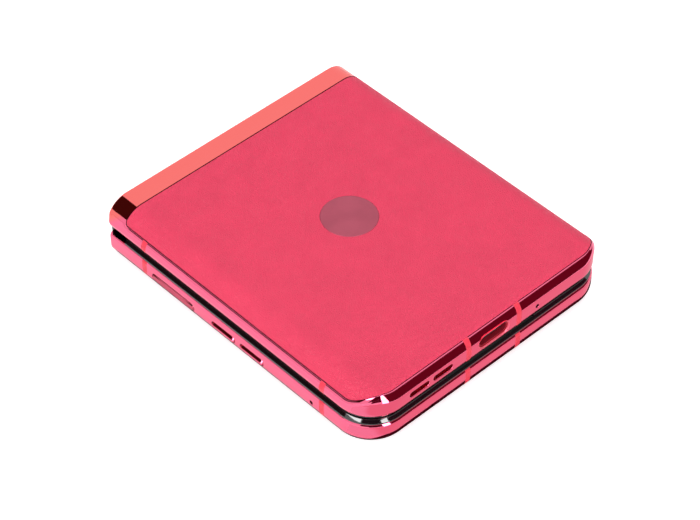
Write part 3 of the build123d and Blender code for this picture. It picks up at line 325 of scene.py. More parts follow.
def spine_room_tool(name, on_base):
    """The room for the spine. Its section at each x is a quarter circle about the hinge axis, from behind
    up to the top, then level to the hinge end and straight down past the closing plane. The circle shrinks
    near the ends along an arc of 5.686 mm, as the spine does."""
    x = np.concatenate([-np.linspace(35.49, 31.065, 16), np.linspace(31.065, 35.49, 16)])
    radius = -0.966 + np.sqrt(5.686**2 - (np.abs(x) - 31.065) ** 2)
    lean = np.linspace(0.0, np.pi / 2, 24)[None, :]
    arc_y = AXIS_Y - radius[:, None] * np.cos(lean)
    arc_depth = AXIS_DEPTH - radius[:, None] * np.sin(lean)
    still = 0 * radius[:, None]
    y = np.hstack([still + 34.66, arc_y, still + 46.0, still + 46.0, still + 34.66])
    depth = np.hstack([still + AXIS_DEPTH, arc_depth, arc_depth[:, -1:], still + 9.5, still + 9.5])
    loops = np.stack([x[:, None] + 0 * y, y, to_height(depth, on_base)], axis=-1)
    return make_piece(name, capped(loops))


outline = rim_rows(SIDE, SOCKET_END, HINGE_END, NEAR_RADIUS, FAR_RADIUS)
inner_wall = rim_rows(SIDE - 1.7, SOCKET_END + 1.7, 34.915, NEAR_RADIUS - 1.7, 1.0)
leather_opening = rim_rows(SIDE - 0.82, SOCKET_END + 1.25, COVER_END, 7.3, 1.0)
glass_opening = rim_rows(SIDE - 1.5, SOCKET_END + 1.5, COVER_END, 7.76, 3.0)


def metal_rim(name, depth_at, cover, stack, shoulder, foot, on_base):
    """A whole rim as one closed surface. Each row's profile runs up the outside wall, over the land to the
    cover's edge, down the cover's recess, which is a stack deep, along its floor, down the inner wall and
    back along the foot."""
    inset, depth = rim_wall(outline, cover, depth_at, shoulder, on_base)
    wall = on_rim(outline, inset, depth, on_base)

    crest_x, crest_y = rim_points(outline, inset[:, -1])
    cover_x, cover_y = cover_points(outline, cover)
    inner_x, inner_y = rim_points(inner_wall)
    across = np.linspace(0.0, 1.0, 15)[None, 1:]
    land_x = blended(crest_x[:, None], cover_x[:, None], across)
    land_y = blended(crest_y[:, None], cover_y[:, None], across)
    land = np.stack([land_x, land_y, to_height(depth_at(land_x, land_y), on_base)], axis=-1)

    def line(x, y, down):
        return np.stack([x, y, to_height(down, on_base)], axis=-1)[:, None, :]

    recess = line(cover_x, cover_y, depth_at(cover_x, cover_y) + stack)
    floor_end = line(inner_x, inner_y, depth_at(inner_x, inner_y) + stack)
    inner_foot = line(inner_x, inner_y, foot + 0 * inner_x)
    foot_x, foot_y = rim_points(outline, inset[:, 0])
    outer_foot = line(foot_x, foot_y, foot + 0 * foot_x)
    grid = np.concatenate([wall, land, recess, floor_end, inner_foot, outer_foot], axis=1)
    return make_piece(name, (grid, grid_faces(grid.shape, True, True))), inset, depth


def finish(name, colour, metallic, roughness, patches, tone, grain, bump, stretch=(1.0, 1.0, 1.0)):
    """A finish on Object coordinates. Noise at the scale of the patches shades the colour by the tone's
    share either side of its own value, noise 2.3 times finer moves the roughness between its two values,
    and noise at the grain's scale raises the surface by bump, in metres. Stretch pulls the noise out along
    an axis, as brushing does."""
    material = bpy.data.materials.new(name)
    material.use_nodes = True
    nodes, links = material.node_tree.nodes, material.node_tree.links
    skin = nodes["Principled BSDF"]
    skin.inputs["Metallic"].default_value = metallic
    place = nodes.new("ShaderNodeTexCoord")
    turn = nodes.new("ShaderNodeMapping")
    turn.inputs["Scale"].default_value = stretch
    links.new(place.outputs["Object"], turn.inputs["Vector"])

    def noise(scale, detail):
        made = nodes.new("ShaderNodeTexNoise")
        made.inputs["Scale"].default_value = scale
        made.inputs["Detail"].default_value = detail
        links.new(turn.outputs["Vector"], made.inputs["Vector"])
        return made

    shades = nodes.new("ShaderNodeValToRGB")
    darker, lighter = np.array(colour) * (1 - tone), np.minimum(np.array(colour) * (1 + tone), 1.0)
    shades.color_ramp.elements[0].position, shades.color_ramp.elements[1].position = 0.35, 0.65
    shades.color_ramp.elements[0].color = (*darker, 1.0)
    shades.color_ramp.elements[1].color = (*lighter, 1.0)
    links.new(noise(patches, 3.0).outputs["Fac"], shades.inputs["Fac"])
    links.new(shades.outputs["Color"], skin.inputs["Base Color"])
    polish = nodes.new("ShaderNodeMapRange")
    polish.inputs["From Min"].default_value, polish.inputs["From Max"].default_value = 0.3, 0.7
    polish.inputs["To Min"].default_value, polish.inputs["To Max"].default_value = roughness
    links.new(noise(patches * 2.3, 4.0).outputs["Fac"], polish.inputs["Value"])
    links.new(polish.outputs["Result"], skin.inputs["Roughness"])
    raised = nodes.new("ShaderNodeBump")
    raised.inputs["Strength"].default_value = 1.0
    raised.inputs["Distance"].default_value = bump
    links.new(noise(grain, 2.0).outputs["Fac"], raised.inputs["Height"])
    links.new(raised.outputs["Normal"], skin.inputs["Normal"])
    return material


def with_value(material, socket, value):
    """A finish with one more of its values set."""
    material.node_tree.nodes["Principled BSDF"].inputs[socket].default_value = value
    return material


def reckon(tree, operation, *values):
    """One step of arithmetic on numbers or on other nodes' outputs."""
    step = tree.nodes.new("ShaderNodeMath")
    step.operation = operation
    for socket, value in zip(step.inputs, values):
        if isinstance(value, bpy.types.NodeSocket):
            tree.links.new(value, socket)
        else:
            socket.default_value = value
    return step.outputs["Value"]


def wear(piece, material):
    """Gives a piece one material all over."""
    piece.data.materials.clear()
    piece.data.materials.append(material)


def paint_warm_rail_reflection(material, warm_reflection):
    """Paints a salmon reflection of warm light onto a finish on the leather side's rail. The share rises from
    52.0 to 54.6 mm of y plus 1.2 times the height, so the painted reflection is full on the rail and fades
    down the ends of the side walls."""
    nodes, links = material.node_tree.nodes, material.node_tree.links
    place = next(node for node in nodes if node.type == "TEX_COORD")
    split = nodes.new("ShaderNodeSeparateXYZ")
    links.new(place.outputs["Object"], split.inputs["Vector"])
    along = reckon(material.node_tree, "MULTIPLY_ADD", split.outputs["Z"], 1.2, split.outputs["Y"])
    share = nodes.new("ShaderNodeMapRange")
    share.interpolation_type = "SMOOTHSTEP"
    share.inputs["From Min"].default_value, share.inputs["From Max"].default_value = 0.0520, 0.0546
    links.new(along, share.inputs["Value"])
    mix = nodes.new("ShaderNodeMix")
    mix.data_type = "RGBA"
    shades = next(node for node in nodes if node.type == "VALTORGB")
    links.new(share.outputs["Result"], mix.inputs["Factor"])
    links.new(shades.outputs["Color"], mix.inputs["A"])
    mix.inputs["B"].default_value = (*warm_reflection, 1.0)
    links.new(mix.outputs["Result"], nodes["Principled BSDF"].inputs["Base Color"])
    return material


pink_metal = finish("pink_anodised_metal", (0.93, 0.155, 0.28), 1.0, (0.035, 0.06), 90.0, 0.02, 1800.0, 2e-7)
# The rail's salmon is a painted reflection of warm light, not the anodising's own colour.
paint_warm_rail_reflection(pink_metal, (0.96, 0.18, 0.17))

base_frame, base_inset, base_depth = metal_rim(
    "polished_base_frame", back_depth, leather_opening, 1.28, (5.25, 1.7, 90.0, 49.77), HALF_HEIGHT, True)
flip_frame, flip_inset, flip_depth = metal_rim(
    "polished_flip_frame", glass_depth, glass_opening, 0.83, (5.76, 1.1, 43.4, 33.0), FLIP_FOOT, False)
cut(
    base_frame,
    bezel_seat_tool("base_seat_tool", 0.92, True),
    spine_room_tool("base_room_tool", True),
    socket_edge_tool("usb_mouth_tool", 0.0, MOUTH_LEVEL, MOUTH_WIDTH, MOUTH_HEIGHT, 0.3, 2),
    socket_edge_tool("slot_tool_a", -22.35, 11.29, 5.7, 1.5, 0.14),
    socket_edge_tool("slot_tool_b", -15.375, 11.29, 5.75, 1.5, 0.14),
    socket_edge_tool("base_mic_tool", 13.4, 11.12, *PINHOLE, 0.06),
)
cut(
    flip_frame,
    bezel_seat_tool("flip_seat_tool", 0.27, False),
    spine_room_tool("flip_room_tool", False),
    side_tool("power_tool", -SIDE, POWER_Y, SLOT_LEVEL, 14.3, 2.3, 0.05),
    side_tool("volume_up_tool", -SIDE, VOLUME_UP_Y, SLOT_LEVEL, 7.7, 2.0, 0.05),
    side_tool("volume_down_tool", -SIDE, VOLUME_DOWN_Y, SLOT_LEVEL, 7.7, 2.0, 0.05),
    side_tool("side_mic_tool", -SIDE, -26.1, SLOT_LEVEL, *PINHOLE, 0.05),
    side_tool("tray_tool", SIDE, -20.0, SLOT_LEVEL, 11.3, 1.3, 0.08),
    socket_edge_tool("flip_mic_tool", -18.4, 3.15, *PINHOLE, 0.06),
)
for rim, body, node in ((base_frame, "base_half", "base_frame"), (flip_frame, "flip_half", "flip_frame")):
    wear(rim, pink_metal)
    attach(rim, body)
    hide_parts(node)

# ---------------------------------------------------------------- socket mouth
# The socket's mouth has a flat chamfer with a fine satin ring pressed on it, so that it stands out from the
# polished edge. Behind it the hole through the rim is lined with a dark red sleeve, whose colour is painted
# shade inside the mouth.
def mouth_liner(name, grow, reach, material):
    """A closed section carried round the mouth: grow draws the mouth's outline out, and reach is depth."""
    loops = []
    for out, far in zip(grow, reach):
        along, up = stadium_loop(MOUTH_WIDTH, MOUTH_HEIGHT, out, 96)
        loops.append(np.stack([along, SOCKET_END + far + 0 * along, MOUTH_LEVEL + up], axis=-1))
    grid = np.stack(loops)
    liner = make_piece(name, (grid, grid_faces(grid.shape, True, True)))
    wear(liner, material)
    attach(liner, "base_half")


ring_satin = finish("satin_pink_ring", (0.93, 0.13, 0.2), 0.25, (0.32, 0.4), 300.0, 0.03, 5200.0, 2e-6)
# The sleeve's dark red is painted shade inside the mouth.
mouth_shade_finish = finish("painted_mouth_shade", (0.5, 0.012, 0.03), 0.0, (0.35, 0.45), 400.0, 0.05, 3000.0, 2e-6)
mouth_liner("satin_socket_ring", (0.29, 0.22, -0.04, -0.04, -0.004, -0.004),
            (0.004, 0.002, 0.26, 0.34, 0.34, 0.3), ring_satin)
mouth_liner("mouth_shade_lining", (-0.004, -0.05, -0.05, -0.004), (0.35, 0.35, 1.66, 1.66), mouth_shade_finish)

# ---------------------------------------------------------------- antenna bands
# Strips of pink resin are moulded into slots across the rims, so that the radio signal gets out. They are
# ground flush with the metal and stay a little duller than it.
def band_strip(inset, depth, on_base, at):
    """The rim's own outer surface from one row to the next, raised by 0.004 mm and closed 0.2 mm behind."""
    pair = slice(at, at + 2)
    rows = tuple(value[pair] for value in outline)
    front = on_rim(rows, inset[pair] - 0.004, depth[pair], on_base)
    behind = on_rim(rows, inset[pair] + 0.2, depth[pair], on_base)
    return capped(np.concatenate([front, behind[:, ::-1]], axis=1))


x, y = rim_points(outline)
band_rows = np.flatnonzero(np.abs(np.hypot(np.diff(x), np.diff(y)) - 1.5) < 1e-6)
band_resin = finish("band_resin", (0.86, 0.045, 0.085), 0.0, (0.3, 0.38), 500.0, 0.03, 3000.0, 6e-7)
band_resin = with_value(band_resin, "Specular IOR Level", 0.3)
for inset, depth, foot, on_base, body, node in (
    (base_inset, base_depth, 3, True, "base_half", "base_antenna_bands"),
    (flip_inset, flip_depth, 1, False, "flip_half", "flip_antenna_bands"),
):
    strips = [band_strip(inset[:, foot:], depth[:, foot:], on_base, at) for at in band_rows]
    bands = make_piece("moulded_" + node, *strips)
    wear(bands, band_resin)
    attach(bands, body)
    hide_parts(node)

# ---------------------------------------------------------------- leather back
# A sheet of fine-grained pink leather, 0.7 mm thick, is glued over a stiff plate. It rolls down with the
# plate at the sides and the socket edge, its cut edge is rounded, and a round seat takes the badge.
BADGE_X, BADGE_Y, BADGE_HOLE, BADGE_SEAT = 0.1, 1.3, 6.63, 0.25
LEATHER_STACK, LEATHER_EDGE = 0.66, 0.1
leather_cut = rim_rows(SIDE - 0.98, SOCKET_END + 1.45, COVER_END - 0.22, 7.12, 0.8)


def leather_skin():
    """A closed sheet whose rows go round the badge and the outline. Its steps run from the badge's middle
    over the seat, up the seat's wall, out to the outline, over a rounded edge and back underneath. The
    depth everywhere is that of the rolled back."""
    edge_x, edge_y = rim_points(leather_cut)
    turn = np.arctan2(edge_y - BADGE_Y, edge_x - BADGE_X)[:, None]

    def ring(radius):
        return BADGE_X + radius * np.cos(turn), BADGE_Y + radius * np.sin(turn)

    lean = np.linspace(0.0, np.pi / 2, 6)[None, :]
    seat_x, seat_y = ring(np.array([[0.0, 2.2, 4.4, BADGE_HOLE]]))
    seat_depth = 0 * seat_x + BADGE_SEAT
    mouth_x, mouth_y = ring(BADGE_HOLE + 0.06 - 0.06 * np.cos(lean))
    mouth_depth = 0.06 - 0.06 * np.sin(lean) + 0 * mouth_x
    out = np.linspace(0.0, 1.0, 90)[None, 1:]
    start_x, start_y = ring(BADGE_HOLE + 0.06)
    inner_x, inner_y = rim_points(leather_cut, LEATHER_EDGE)
    top_x, top_y = blended(start_x, inner_x[:, None], out), blended(start_y, inner_y[:, None], out)
    top_depth = back_depth(top_x, top_y)
    round_inset = LEATHER_EDGE - LEATHER_EDGE * np.sin(lean[:, 1:])
    x, y, radius, angle = (value[:, None] for value in leather_cut)
    round_x, round_y = rim_points((x, y, radius, angle), round_inset)
    last_depth = back_depth(inner_x, inner_y)[:, None]
    round_depth = last_depth + LEATHER_EDGE - LEATHER_EDGE * np.cos(lean[:, 1:])
    under_depth = back_depth(edge_x, edge_y)[:, None] + LEATHER_STACK
    under_x = blended(edge_x[:, None], BADGE_X, out**1.5)
    under_y = blended(edge_y[:, None], BADGE_Y, out**1.5)
    below = blended(under_depth, 0.7, ease(out * 4.0))
    below = np.maximum(below, back_depth(under_x, under_y) + LEATHER_STACK)
    plan_x = np.hstack([seat_x, mouth_x, top_x, round_x, edge_x[:, None], under_x])
    plan_y = np.hstack([seat_y, mouth_y, top_y, round_y, edge_y[:, None], under_y])
    depth = np.hstack([seat_depth, mouth_depth, top_depth, round_depth, under_depth, below])
    grid = np.stack([plan_x, plan_y, to_height(depth, True)], axis=-1)
    return grid, grid_faces(grid.shape, closed_rows=True)


def leather_finish():
    """Leather: pebbled cells and finer noise give the bump, and slow noise varies the tint and roughness."""
    material = finish("pink_leather", (0.78, 0.042, 0.108), 0.0, (0.46, 0.58), 160.0, 0.03, 5200.0, 3e-5)
    nodes, links = material.node_tree.nodes, material.node_tree.links
    skin = nodes["Principled BSDF"]
    place = next(node for node in nodes if node.type == "TEX_COORD")
    cells = nodes.new("ShaderNodeTexVoronoi")
    cells.feature = "DISTANCE_TO_EDGE"
    cells.inputs["Scale"].default_value = 2300.0
    cells.inputs["Randomness"].default_value = 0.9
    links.new(place.outputs["Object"], cells.inputs["Vector"])
    pebble = nodes.new("ShaderNodeMapRange")
    pebble.interpolation_type = "SMOOTHSTEP"
    pebble.inputs["From Max"].default_value = 0.35
    links.new(cells.outputs["Distance"], pebble.inputs["Value"])
    deep = nodes.new("ShaderNodeBump")
    deep.inputs["Strength"].default_value = 1.0
    deep.inputs["Distance"].default_value = 6e-5
    links.new(pebble.outputs["Result"], deep.inputs["Height"])
    fine = next(node for node in nodes if node.type == "BUMP" and node != deep)
    links.new(fine.outputs["Normal"], deep.inputs["Normal"])
    links.new(deep.outputs["Normal"], skin.inputs["Normal"])
    skin.inputs["Specular IOR Level"].default_value = 0.28
    skin.inputs["Sheen Weight"].default_value = 0.03
    skin.inputs["Sheen Roughness"].default_value = 0.4
    return material


leather = make_piece("leather_back", leather_skin())
wear(leather, leather_finish())
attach(leather, "base_half")
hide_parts("leather_cover")


def seam_shade_strip():
    """Painted shade in the seam round the leather: a near-black four-sided section carried round, from just
    inside the frame's edge to the leather's own cut edge, a little below both."""
    corners = []
    for rows, inset, down in (
        (leather_opening, 0.004, 0.14),
        (leather_cut, -0.004, 0.14),
        (leather_cut, -0.004, 0.6),
        (leather_opening, 0.004, 0.6),
    ):
        x, y = rim_points(rows, inset)
        corners.append(np.stack([x, y, to_height(back_depth(x, y) + down, True)], axis=-1))
    grid = np.stack(corners, axis=1)
    return grid, grid_faces(grid.shape, True, True)


# A near-black strip sunk in the seam paints the shade of the gap between the leather and the frame.
seam_shade_piece = make_piece("painted_seam_shade", seam_shade_strip())
seam_shade_finish = finish("painted_seam_shade", (0.02, 0.0, 0.002), 0.0, (0.7, 0.8), 600.0, 0.1, 5200.0, 5e-6)
wear(seam_shade_piece, with_value(seam_shade_finish, "Specular IOR Level", 0.05))
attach(seam_shade_piece, "base_half")

# ---------------------------------------------------------------- round badge
# A disc of dusky lacquered metal is pressed into the leather. Its face is spun, so that fine circles run
# round its middle and catch the light in two fans, and it carries no mark.
def lathe(x, y, radius, height, steps=72):
    """A form turned about an upright line: a profile of radius and height carried round it."""
    turn = np.linspace(0.0, 2 * np.pi, steps, endpoint=False)[:, None]
    plan_x, plan_y = x + radius * np.cos(turn), y + radius * np.sin(turn)
    return np.stack([plan_x, plan_y, height + 0 * plan_x], axis=-1)


def badge_disc():
    """A lathe form: from the middle of the face out over a rounded rim, down the edge and back below."""
    lean = np.linspace(0.0, np.pi / 2, 6)
    radius = np.concatenate([np.linspace(0.0, 6.48, 14), 6.5 + 0.1 * np.sin(lean), [6.6, 4.0, 0.0]])
    depth = np.concatenate([np.zeros(14), 0.1 - 0.1 * np.cos(lean), [BADGE_SEAT - 0.01] * 3])
    grid = lathe(BADGE_X, BADGE_Y, radius, to_height(depth, True), 128)
    return grid, grid_faces(grid.shape, closed_rows=True)


def spun_finish():
    """Spun lacquer: rings about the badge's middle give a fine bump and shade the roughness."""
    material = finish("spun_badge", (0.375, 0.06, 0.1), 0.55, (0.3, 0.36), 300.0, 0.04, 2500.0, 1e-6)
    nodes, links = material.node_tree.nodes, material.node_tree.links
    place = next(node for node in nodes if node.type == "TEX_COORD")
    centre = nodes.new("ShaderNodeMapping")
    centre.inputs["Location"].default_value = (-BADGE_X * 0.001, -BADGE_Y * 0.001, 0.0)
    centre.inputs["Scale"].default_value = (1.0, 1.0, 0.0)
    links.new(place.outputs["Object"], centre.inputs["Vector"])
    rings = nodes.new("ShaderNodeTexWave")
    rings.wave_type, rings.rings_direction = "RINGS", "SPHERICAL"
    rings.inputs["Scale"].default_value = 1500.0
    rings.inputs["Distortion"].default_value = 0.0
    links.new(centre.outputs["Vector"], rings.inputs["Vector"])
    fine = next(node for node in nodes if node.type == "BUMP")
    spun = nodes.new("ShaderNodeBump")
    spun.inputs["Strength"].default_value = 1.0
    spun.inputs["Distance"].default_value = 8e-6
    links.new(rings.outputs["Fac"], spun.inputs["Height"])
    links.new(fine.outputs["Normal"], spun.inputs["Normal"])
    links.new(spun.outputs["Normal"], nodes["Principled BSDF"].inputs["Normal"])
    return material


badge = make_piece("spun_badge_disc", badge_disc())
wear(badge, spun_finish())
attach(badge, "base_half")
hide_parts("round_inlay")

# ---------------------------------------------------------------- display bezels
# A raised rim of glossy black plastic is glued round three sides of each inner display. The two rims meet
# when the phone is shut, and the lower one has a slot for the earpiece in its outer edge.
BEZEL_TOP, BEZEL_END, BEZEL_SEAT = 7.61, 35.9, 6.6
BEZEL_WIDTH, BEZEL_FOOT, BEZEL_LIP = 2.65, 2.27, 7.07  # a lip reaches over the display's edge


def bezel_rim(edge, wall_top, on_base):
    """A profile carried along three sides of the rim, from one hinge end round the socket edge to the
    other. The outer wall stands straight, bends to a slope of 45 degrees and then to the flat top. Each
    bend is an arc: its inset is the centre's less the radius times the cosine, and its depth is the
    centre's plus the radius times the sine."""
    rows = rim_rows(SIDE, SOCKET_END, BEZEL_END, NEAR_RADIUS, 0.01)
    angle = rows[3]
    used = np.flatnonzero(np.abs(np.degrees(angle) - 90.0) > 89.9)
    first = np.flatnonzero(np.degrees(angle)[used] > 90.0)[0]
    order = np.concatenate([used[first:], used[:first]])
    x, y, radius, angle = (value[order][:, None] for value in rows)
    low, high = np.radians(np.linspace(0.0, 45.0, 7)), np.radians(np.linspace(45.0, 90.0, 7))
    small, large, half_bend = 0.2, 0.3, np.tan(np.pi / 8)
    slope_top = edge + BEZEL_TOP - wall_top
    low_inset = edge + small * (1 - np.cos(low))
    low_depth = wall_top - small * half_bend + small * np.sin(low)
    high_inset = slope_top + large * (half_bend - np.cos(high))
    high_depth = BEZEL_TOP - large * (1 - np.sin(high))
    lean = np.linspace(0.0, np.pi / 2, 7)
    inner_inset = BEZEL_WIDTH - small * (1 - np.cos(lean[::-1]))
    inner_depth = BEZEL_TOP - small + small * np.sin(lean[::-1])
    under_inset, under_depth = [BEZEL_WIDTH, BEZEL_FOOT, BEZEL_FOOT], [BEZEL_LIP, BEZEL_LIP, BEZEL_SEAT]
    inset = np.concatenate([[edge], low_inset, high_inset, inner_inset, under_inset])[None, :]
    depth = np.concatenate([[BEZEL_SEAT], low_depth, high_depth, inner_depth, under_depth])[None, :]
    plan_x, plan_y = rim_points((x, y, radius, angle), inset)
    loops = np.stack([plan_x, plan_y, to_height(depth + 0 * plan_x, on_base)], axis=-1)
    return capped(loops)


def slot_tool(name):
    """The earpiece slot: a shallow rounded notch along the top of the rim's outer edge."""
    along, up = stadium_loop(27.0, 1.0, 0.0, 32)
    reach = np.array([[SOCKET_END - 1.0], [SOCKET_END + 1.3]])
    loops = np.stack(np.broadcast_arrays(along, reach, BEZEL_TOP + up), axis=-1)
    return make_piece(name, capped(loops))


bezel_gloss = finish("glossy_black_bezel", (0.004, 0.004, 0.005), 0.0, (0.04, 0.08), 250.0, 0.1, 2600.0, 3e-7)
bezel_gloss = with_value(bezel_gloss, "IOR", 1.85)
for edge, wall_top, on_base, body, node in (
    (0.3, 6.92, False, "flip_half", "flip_bezel"),
    (0.95, 7.16, True, "base_half", "base_bezel"),
):
    bezel = make_piece("rounded_" + node, bezel_rim(edge, wall_top, on_base))
    if not on_base:
        cut(bezel, slot_tool("earpiece_tool"))
    wear(bezel, bezel_gloss)
    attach(bezel, body)
    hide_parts(node)

# ---------------------------------------------------------------- side keys
# Three anodised aluminium keys sit in slots of the flip half's side. The power key is flush and finely
# blasted, because it also reads fingerprints, and the two volume keys stand proud and are polished.
KEY_LEVEL = 3.75


def key_cap(y, length, height, proud, edge, crown, slope_from, slope):
    """A slot-shaped bar with a rounded face: loops round the slot's outline, drawn in from it by up to the
    edge's width while the face falls from its top along an ellipse as deep as the crown, then a flank.
    Above the height where its slope starts, the face leans back by the slope as well."""
    lean = np.linspace(0.0, np.pi / 2, 18)
    share, fall = 1 - 2 * edge / height * (1 - np.sin(lean)), crown * (1 - np.cos(lean))
    loops = []
    for part, drop in zip(np.append(share, 1.0), np.append(fall, 1.6 + proud)):
        along, up = stadium_loop(length, height, (part - 1) * height / 2, 48)
        lean_back = slope * np.clip(up - slope_from, 0.0, None) * ease((up - slope_from) / 0.25)
        loops.append(np.stack([-SIDE - proud + drop + lean_back, y + along, KEY_LEVEL + up], axis=-1))
    return capped(np.stack(loops))


key_metal = finish("polished_key_metal", (0.93, 0.15, 0.26), 1.0, (0.05, 0.09), 300.0, 0.03, 2500.0, 1e-6)
sensor_skin = finish("blasted_sensor_cap", (0.56, 0.095, 0.15), 1.0, (0.15, 0.2), 300.0, 0.04, 6000.0, 1e-6)
for name, y, length, height, proud, edge, crown, slope_from, slope, material, slot in (
    ("power_key", POWER_Y, 13.9, 1.9, 0.05, 0.3, 0.2, 0.35, 0.9, sensor_skin, "sensor_cap"),
    ("volume_up_key", VOLUME_UP_Y, 7.3, 1.6, 0.3, 0.8, 0.5, 0.0, 0.7, key_metal, "key_metal"),
    ("volume_down_key", VOLUME_DOWN_Y, 7.3, 1.6, 0.3, 0.8, 0.5, 0.0, 0.7, key_metal, "key_metal"),
):
    key = make_piece("crowned_" + name, key_cap(y, length, height, proud, edge, crown, slope_from, slope))
    wear(key, material)
    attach(key, name)
    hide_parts(name)

# ---------------------------------------------------------------- outer display and cameras
# The flip half's outer face is one sheet of black glass that curves down at its edges, over the outer
# display. Two cameras in polished rings and a flash come through it near the socket edge.
CAMERA_X, FLASH_X, LENS_Y = (25.0, 9.5), -2.0, -33.0
GLASS_MIDDLE, GLASS_THICK, GLASS_EDGE = -4.0, 0.78, 0.08


def glass_sheet():
    """A closed sheet over the whole cover outline: rows go round the outline, and steps run out from its
    middle at the depth of the flip half's round, over a rounded edge and back behind."""
    rows = rim_rows(SIDE - 1.53, SOCKET_END + 1.53, COVER_END - 0.03, 7.73, 2.97)
    edge_x, edge_y = (value[:, None] for value in rim_points(rows))
    lean = np.linspace(0.0, np.pi / 2, 5)[None, :]
    step = np.linspace(0.0, 1.0, 60)[None, :] ** 0.8
    inner_x, inner_y = (value[:, None] for value in rim_points(rows, GLASS_EDGE))
    top_x, top_y = inner_x * step, GLASS_MIDDLE + (inner_y - GLASS_MIDDLE) * step
    top_depth = glass_depth(top_x, top_y)
    x, y, radius, angle = (value[:, None] for value in rows)
    round_x, round_y = rim_points((x, y, radius, angle), GLASS_EDGE - GLASS_EDGE * np.sin(lean))
    round_depth = glass_depth(inner_x, inner_y) + GLASS_EDGE - GLASS_EDGE * np.cos(lean)
    under = step[:, ::-1]
    under_x, under_y = edge_x * under, GLASS_MIDDLE + (edge_y - GLASS_MIDDLE) * under
    under_depth = glass_depth(under_x, under_y) + GLASS_THICK
    plan_x, plan_y = np.hstack([top_x, round_x, under_x]), np.hstack([top_y, round_y, under_y])
    depth = np.hstack([top_depth, round_depth, under_depth])
    grid = np.stack([plan_x, plan_y, depth], axis=-1)
    return grid, grid_faces(grid.shape, closed_rows=True)


def post_tool(name, x, radius):
    """A round hole through the glass."""
    turn = np.linspace(0.0, 2 * np.pi, 64, endpoint=False)
    heights = np.array([[-2.0], [4.0]])
    loops = np.broadcast_arrays(x + radius * np.cos(turn), LENS_Y + radius * np.sin(turn), heights)
    return make_piece(name, capped(np.stack(loops, axis=-1)))


def turned_piece(name, places, radius, depth, closed=False, steps=72):
    """One mesh of lathe forms at several places along the lens row."""
    grids = [lathe(x, LENS_Y, radius, depth, steps) for x in places]
    return make_piece(name, *((grid, grid_faces(grid.shape, True, closed)) for grid in grids))


glass = make_piece("curved_outer_glass", glass_sheet())
cut(glass, *(post_tool("camera_hole", x, 5.53) for x in CAMERA_X), post_tool("flash_hole", FLASH_X, 2.13))
wear(glass, finish("black_cover_glass", (0.006, 0.006, 0.008), 0.0, (0.03, 0.05), 120.0, 0.1, 900.0, 2e-7))
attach(glass, "flip_half")
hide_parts("outer_display_glass")

lean = np.linspace(0.0, np.pi / 2, 8)
radius = np.concatenate([[5.5], 5.5 - 0.35 * (1 - np.cos(lean)), 4.4 + 0.5 * (1 - np.sin(lean)), [4.4]])
depth = np.concatenate([[1.35], 0.35 * (1 - np.sin(lean)), 0.5 * (1 - np.cos(lean)), [1.35]])
rings = turned_piece("turned_camera_rings", CAMERA_X, radius, depth, closed=True)
wear(rings, pink_metal)
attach(rings, "flip_half")
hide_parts("camera_rings")

radius = np.concatenate([np.linspace(0.0, 4.25, 12), [4.33, 4.37, 4.37, 0.0]])
depth = np.concatenate([np.full(12, 0.15), [0.17, 0.24, 0.75, 0.75]])
lenses = turned_piece("camera_window_discs", CAMERA_X, radius, depth)
clear_glass = finish("coated_lens_glass", (0.5, 0.52, 0.62), 0.0, (0.02, 0.04), 200.0, 0.03, 900.0, 1e-7)
wear(lenses, with_value(clear_glass, "Transmission Weight", 0.92))
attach(lenses, "flip_half")
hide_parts("camera_windows")

ribs = np.linspace(0.0, 1.9, 40)
radius = np.concatenate([ribs, [2.05, 2.1, 2.1, 0.0]])
depth = np.concatenate([0.1 + 0.05 * np.cos(ribs * 16.0), [0.1, 0.2, 1.6, 1.6]])
flash = turned_piece("ribbed_flash_lens", (FLASH_X,), radius, depth, steps=48)
wear(flash, finish("ribbed_flash_plastic", (0.86, 0.8, 0.6), 0.0, (0.1, 0.16), 900.0, 0.05, 2500.0, 2e-6))
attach(flash, "flip_half")
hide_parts("flash_lens")

# ---------------------------------------------------------------- folding part of the inner display
# The inner display is one soft sheet. Shut, its middle dips down a ramp and goes round in a loop inside the
# hinge, and open it lies flat with the rest. Each half of the loop is built here in its shut shape, turned
# back about the hinge axis.
FOLD_START, FOLD_TURNS_OVER = 31.0, 66.0
FILM_OUT, FILM_BACK = 7.05, 6.9  # depths of the sheet's two faces


def fold_share(y):
    """How much of the spine's turn a point has taken up, eased from where the fold starts to where it turns
    over.
    """
    return ease((y - FOLD_START) / (FOLD_TURNS_OVER - FOLD_START))


def folded_sheet(on_base):
    """The open sheet's points, turned back about the hinge axis by their own share of 90 degrees. The share
    depends on where a point ends up, so it is worked out over and over until it settles."""
    along = np.concatenate([np.linspace(FOLD_START, 41.66, 60), np.linspace(41.66, FOLD_START, 60)])
    rise = np.concatenate([np.full(60, FILM_OUT), np.full(60, FILM_BACK)]) - AXIS_DEPTH
    reach = along - AXIS_Y
    y = along.copy()
    for _ in range(60):
        turn = np.radians(90.0) * fold_share(y)
        y = AXIS_Y + reach * np.cos(turn) - rise * np.sin(turn)
    depth = AXIS_DEPTH + rise * np.cos(turn) + reach * np.sin(turn)
    across = np.linspace(-34.69, 34.69, 41)
    height = to_height(np.minimum(depth, CLOSED_HEIGHT / 2), on_base)
    return capped(np.stack(np.broadcast_arrays(across[:, None], y, height), axis=-1))


screen_film = finish("dark_screen_film", (0.008, 0.008, 0.01), 0.0, (0.05, 0.09), 60.0, 0.1, 500.0, 3e-7)
for on_base, body, node in (
    (False, "flip_half", "display_fold_flip"),
    (True, "base_half", "display_fold_base"),
):
    sheet = make_piece("bending_" + node, folded_sheet(on_base))
    wear(sheet, screen_film)
    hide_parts(node)
    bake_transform(sheet)

# ---------------------------------------------------------------- pieces kept as they are
# The displays, boards, cells, hinge parts and fasteners are plain machined, stamped or laminated parts. They
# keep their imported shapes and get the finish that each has.
def dress(material, *nodes):
    """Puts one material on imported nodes."""
    for node in nodes:
        wear(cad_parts[node], material)


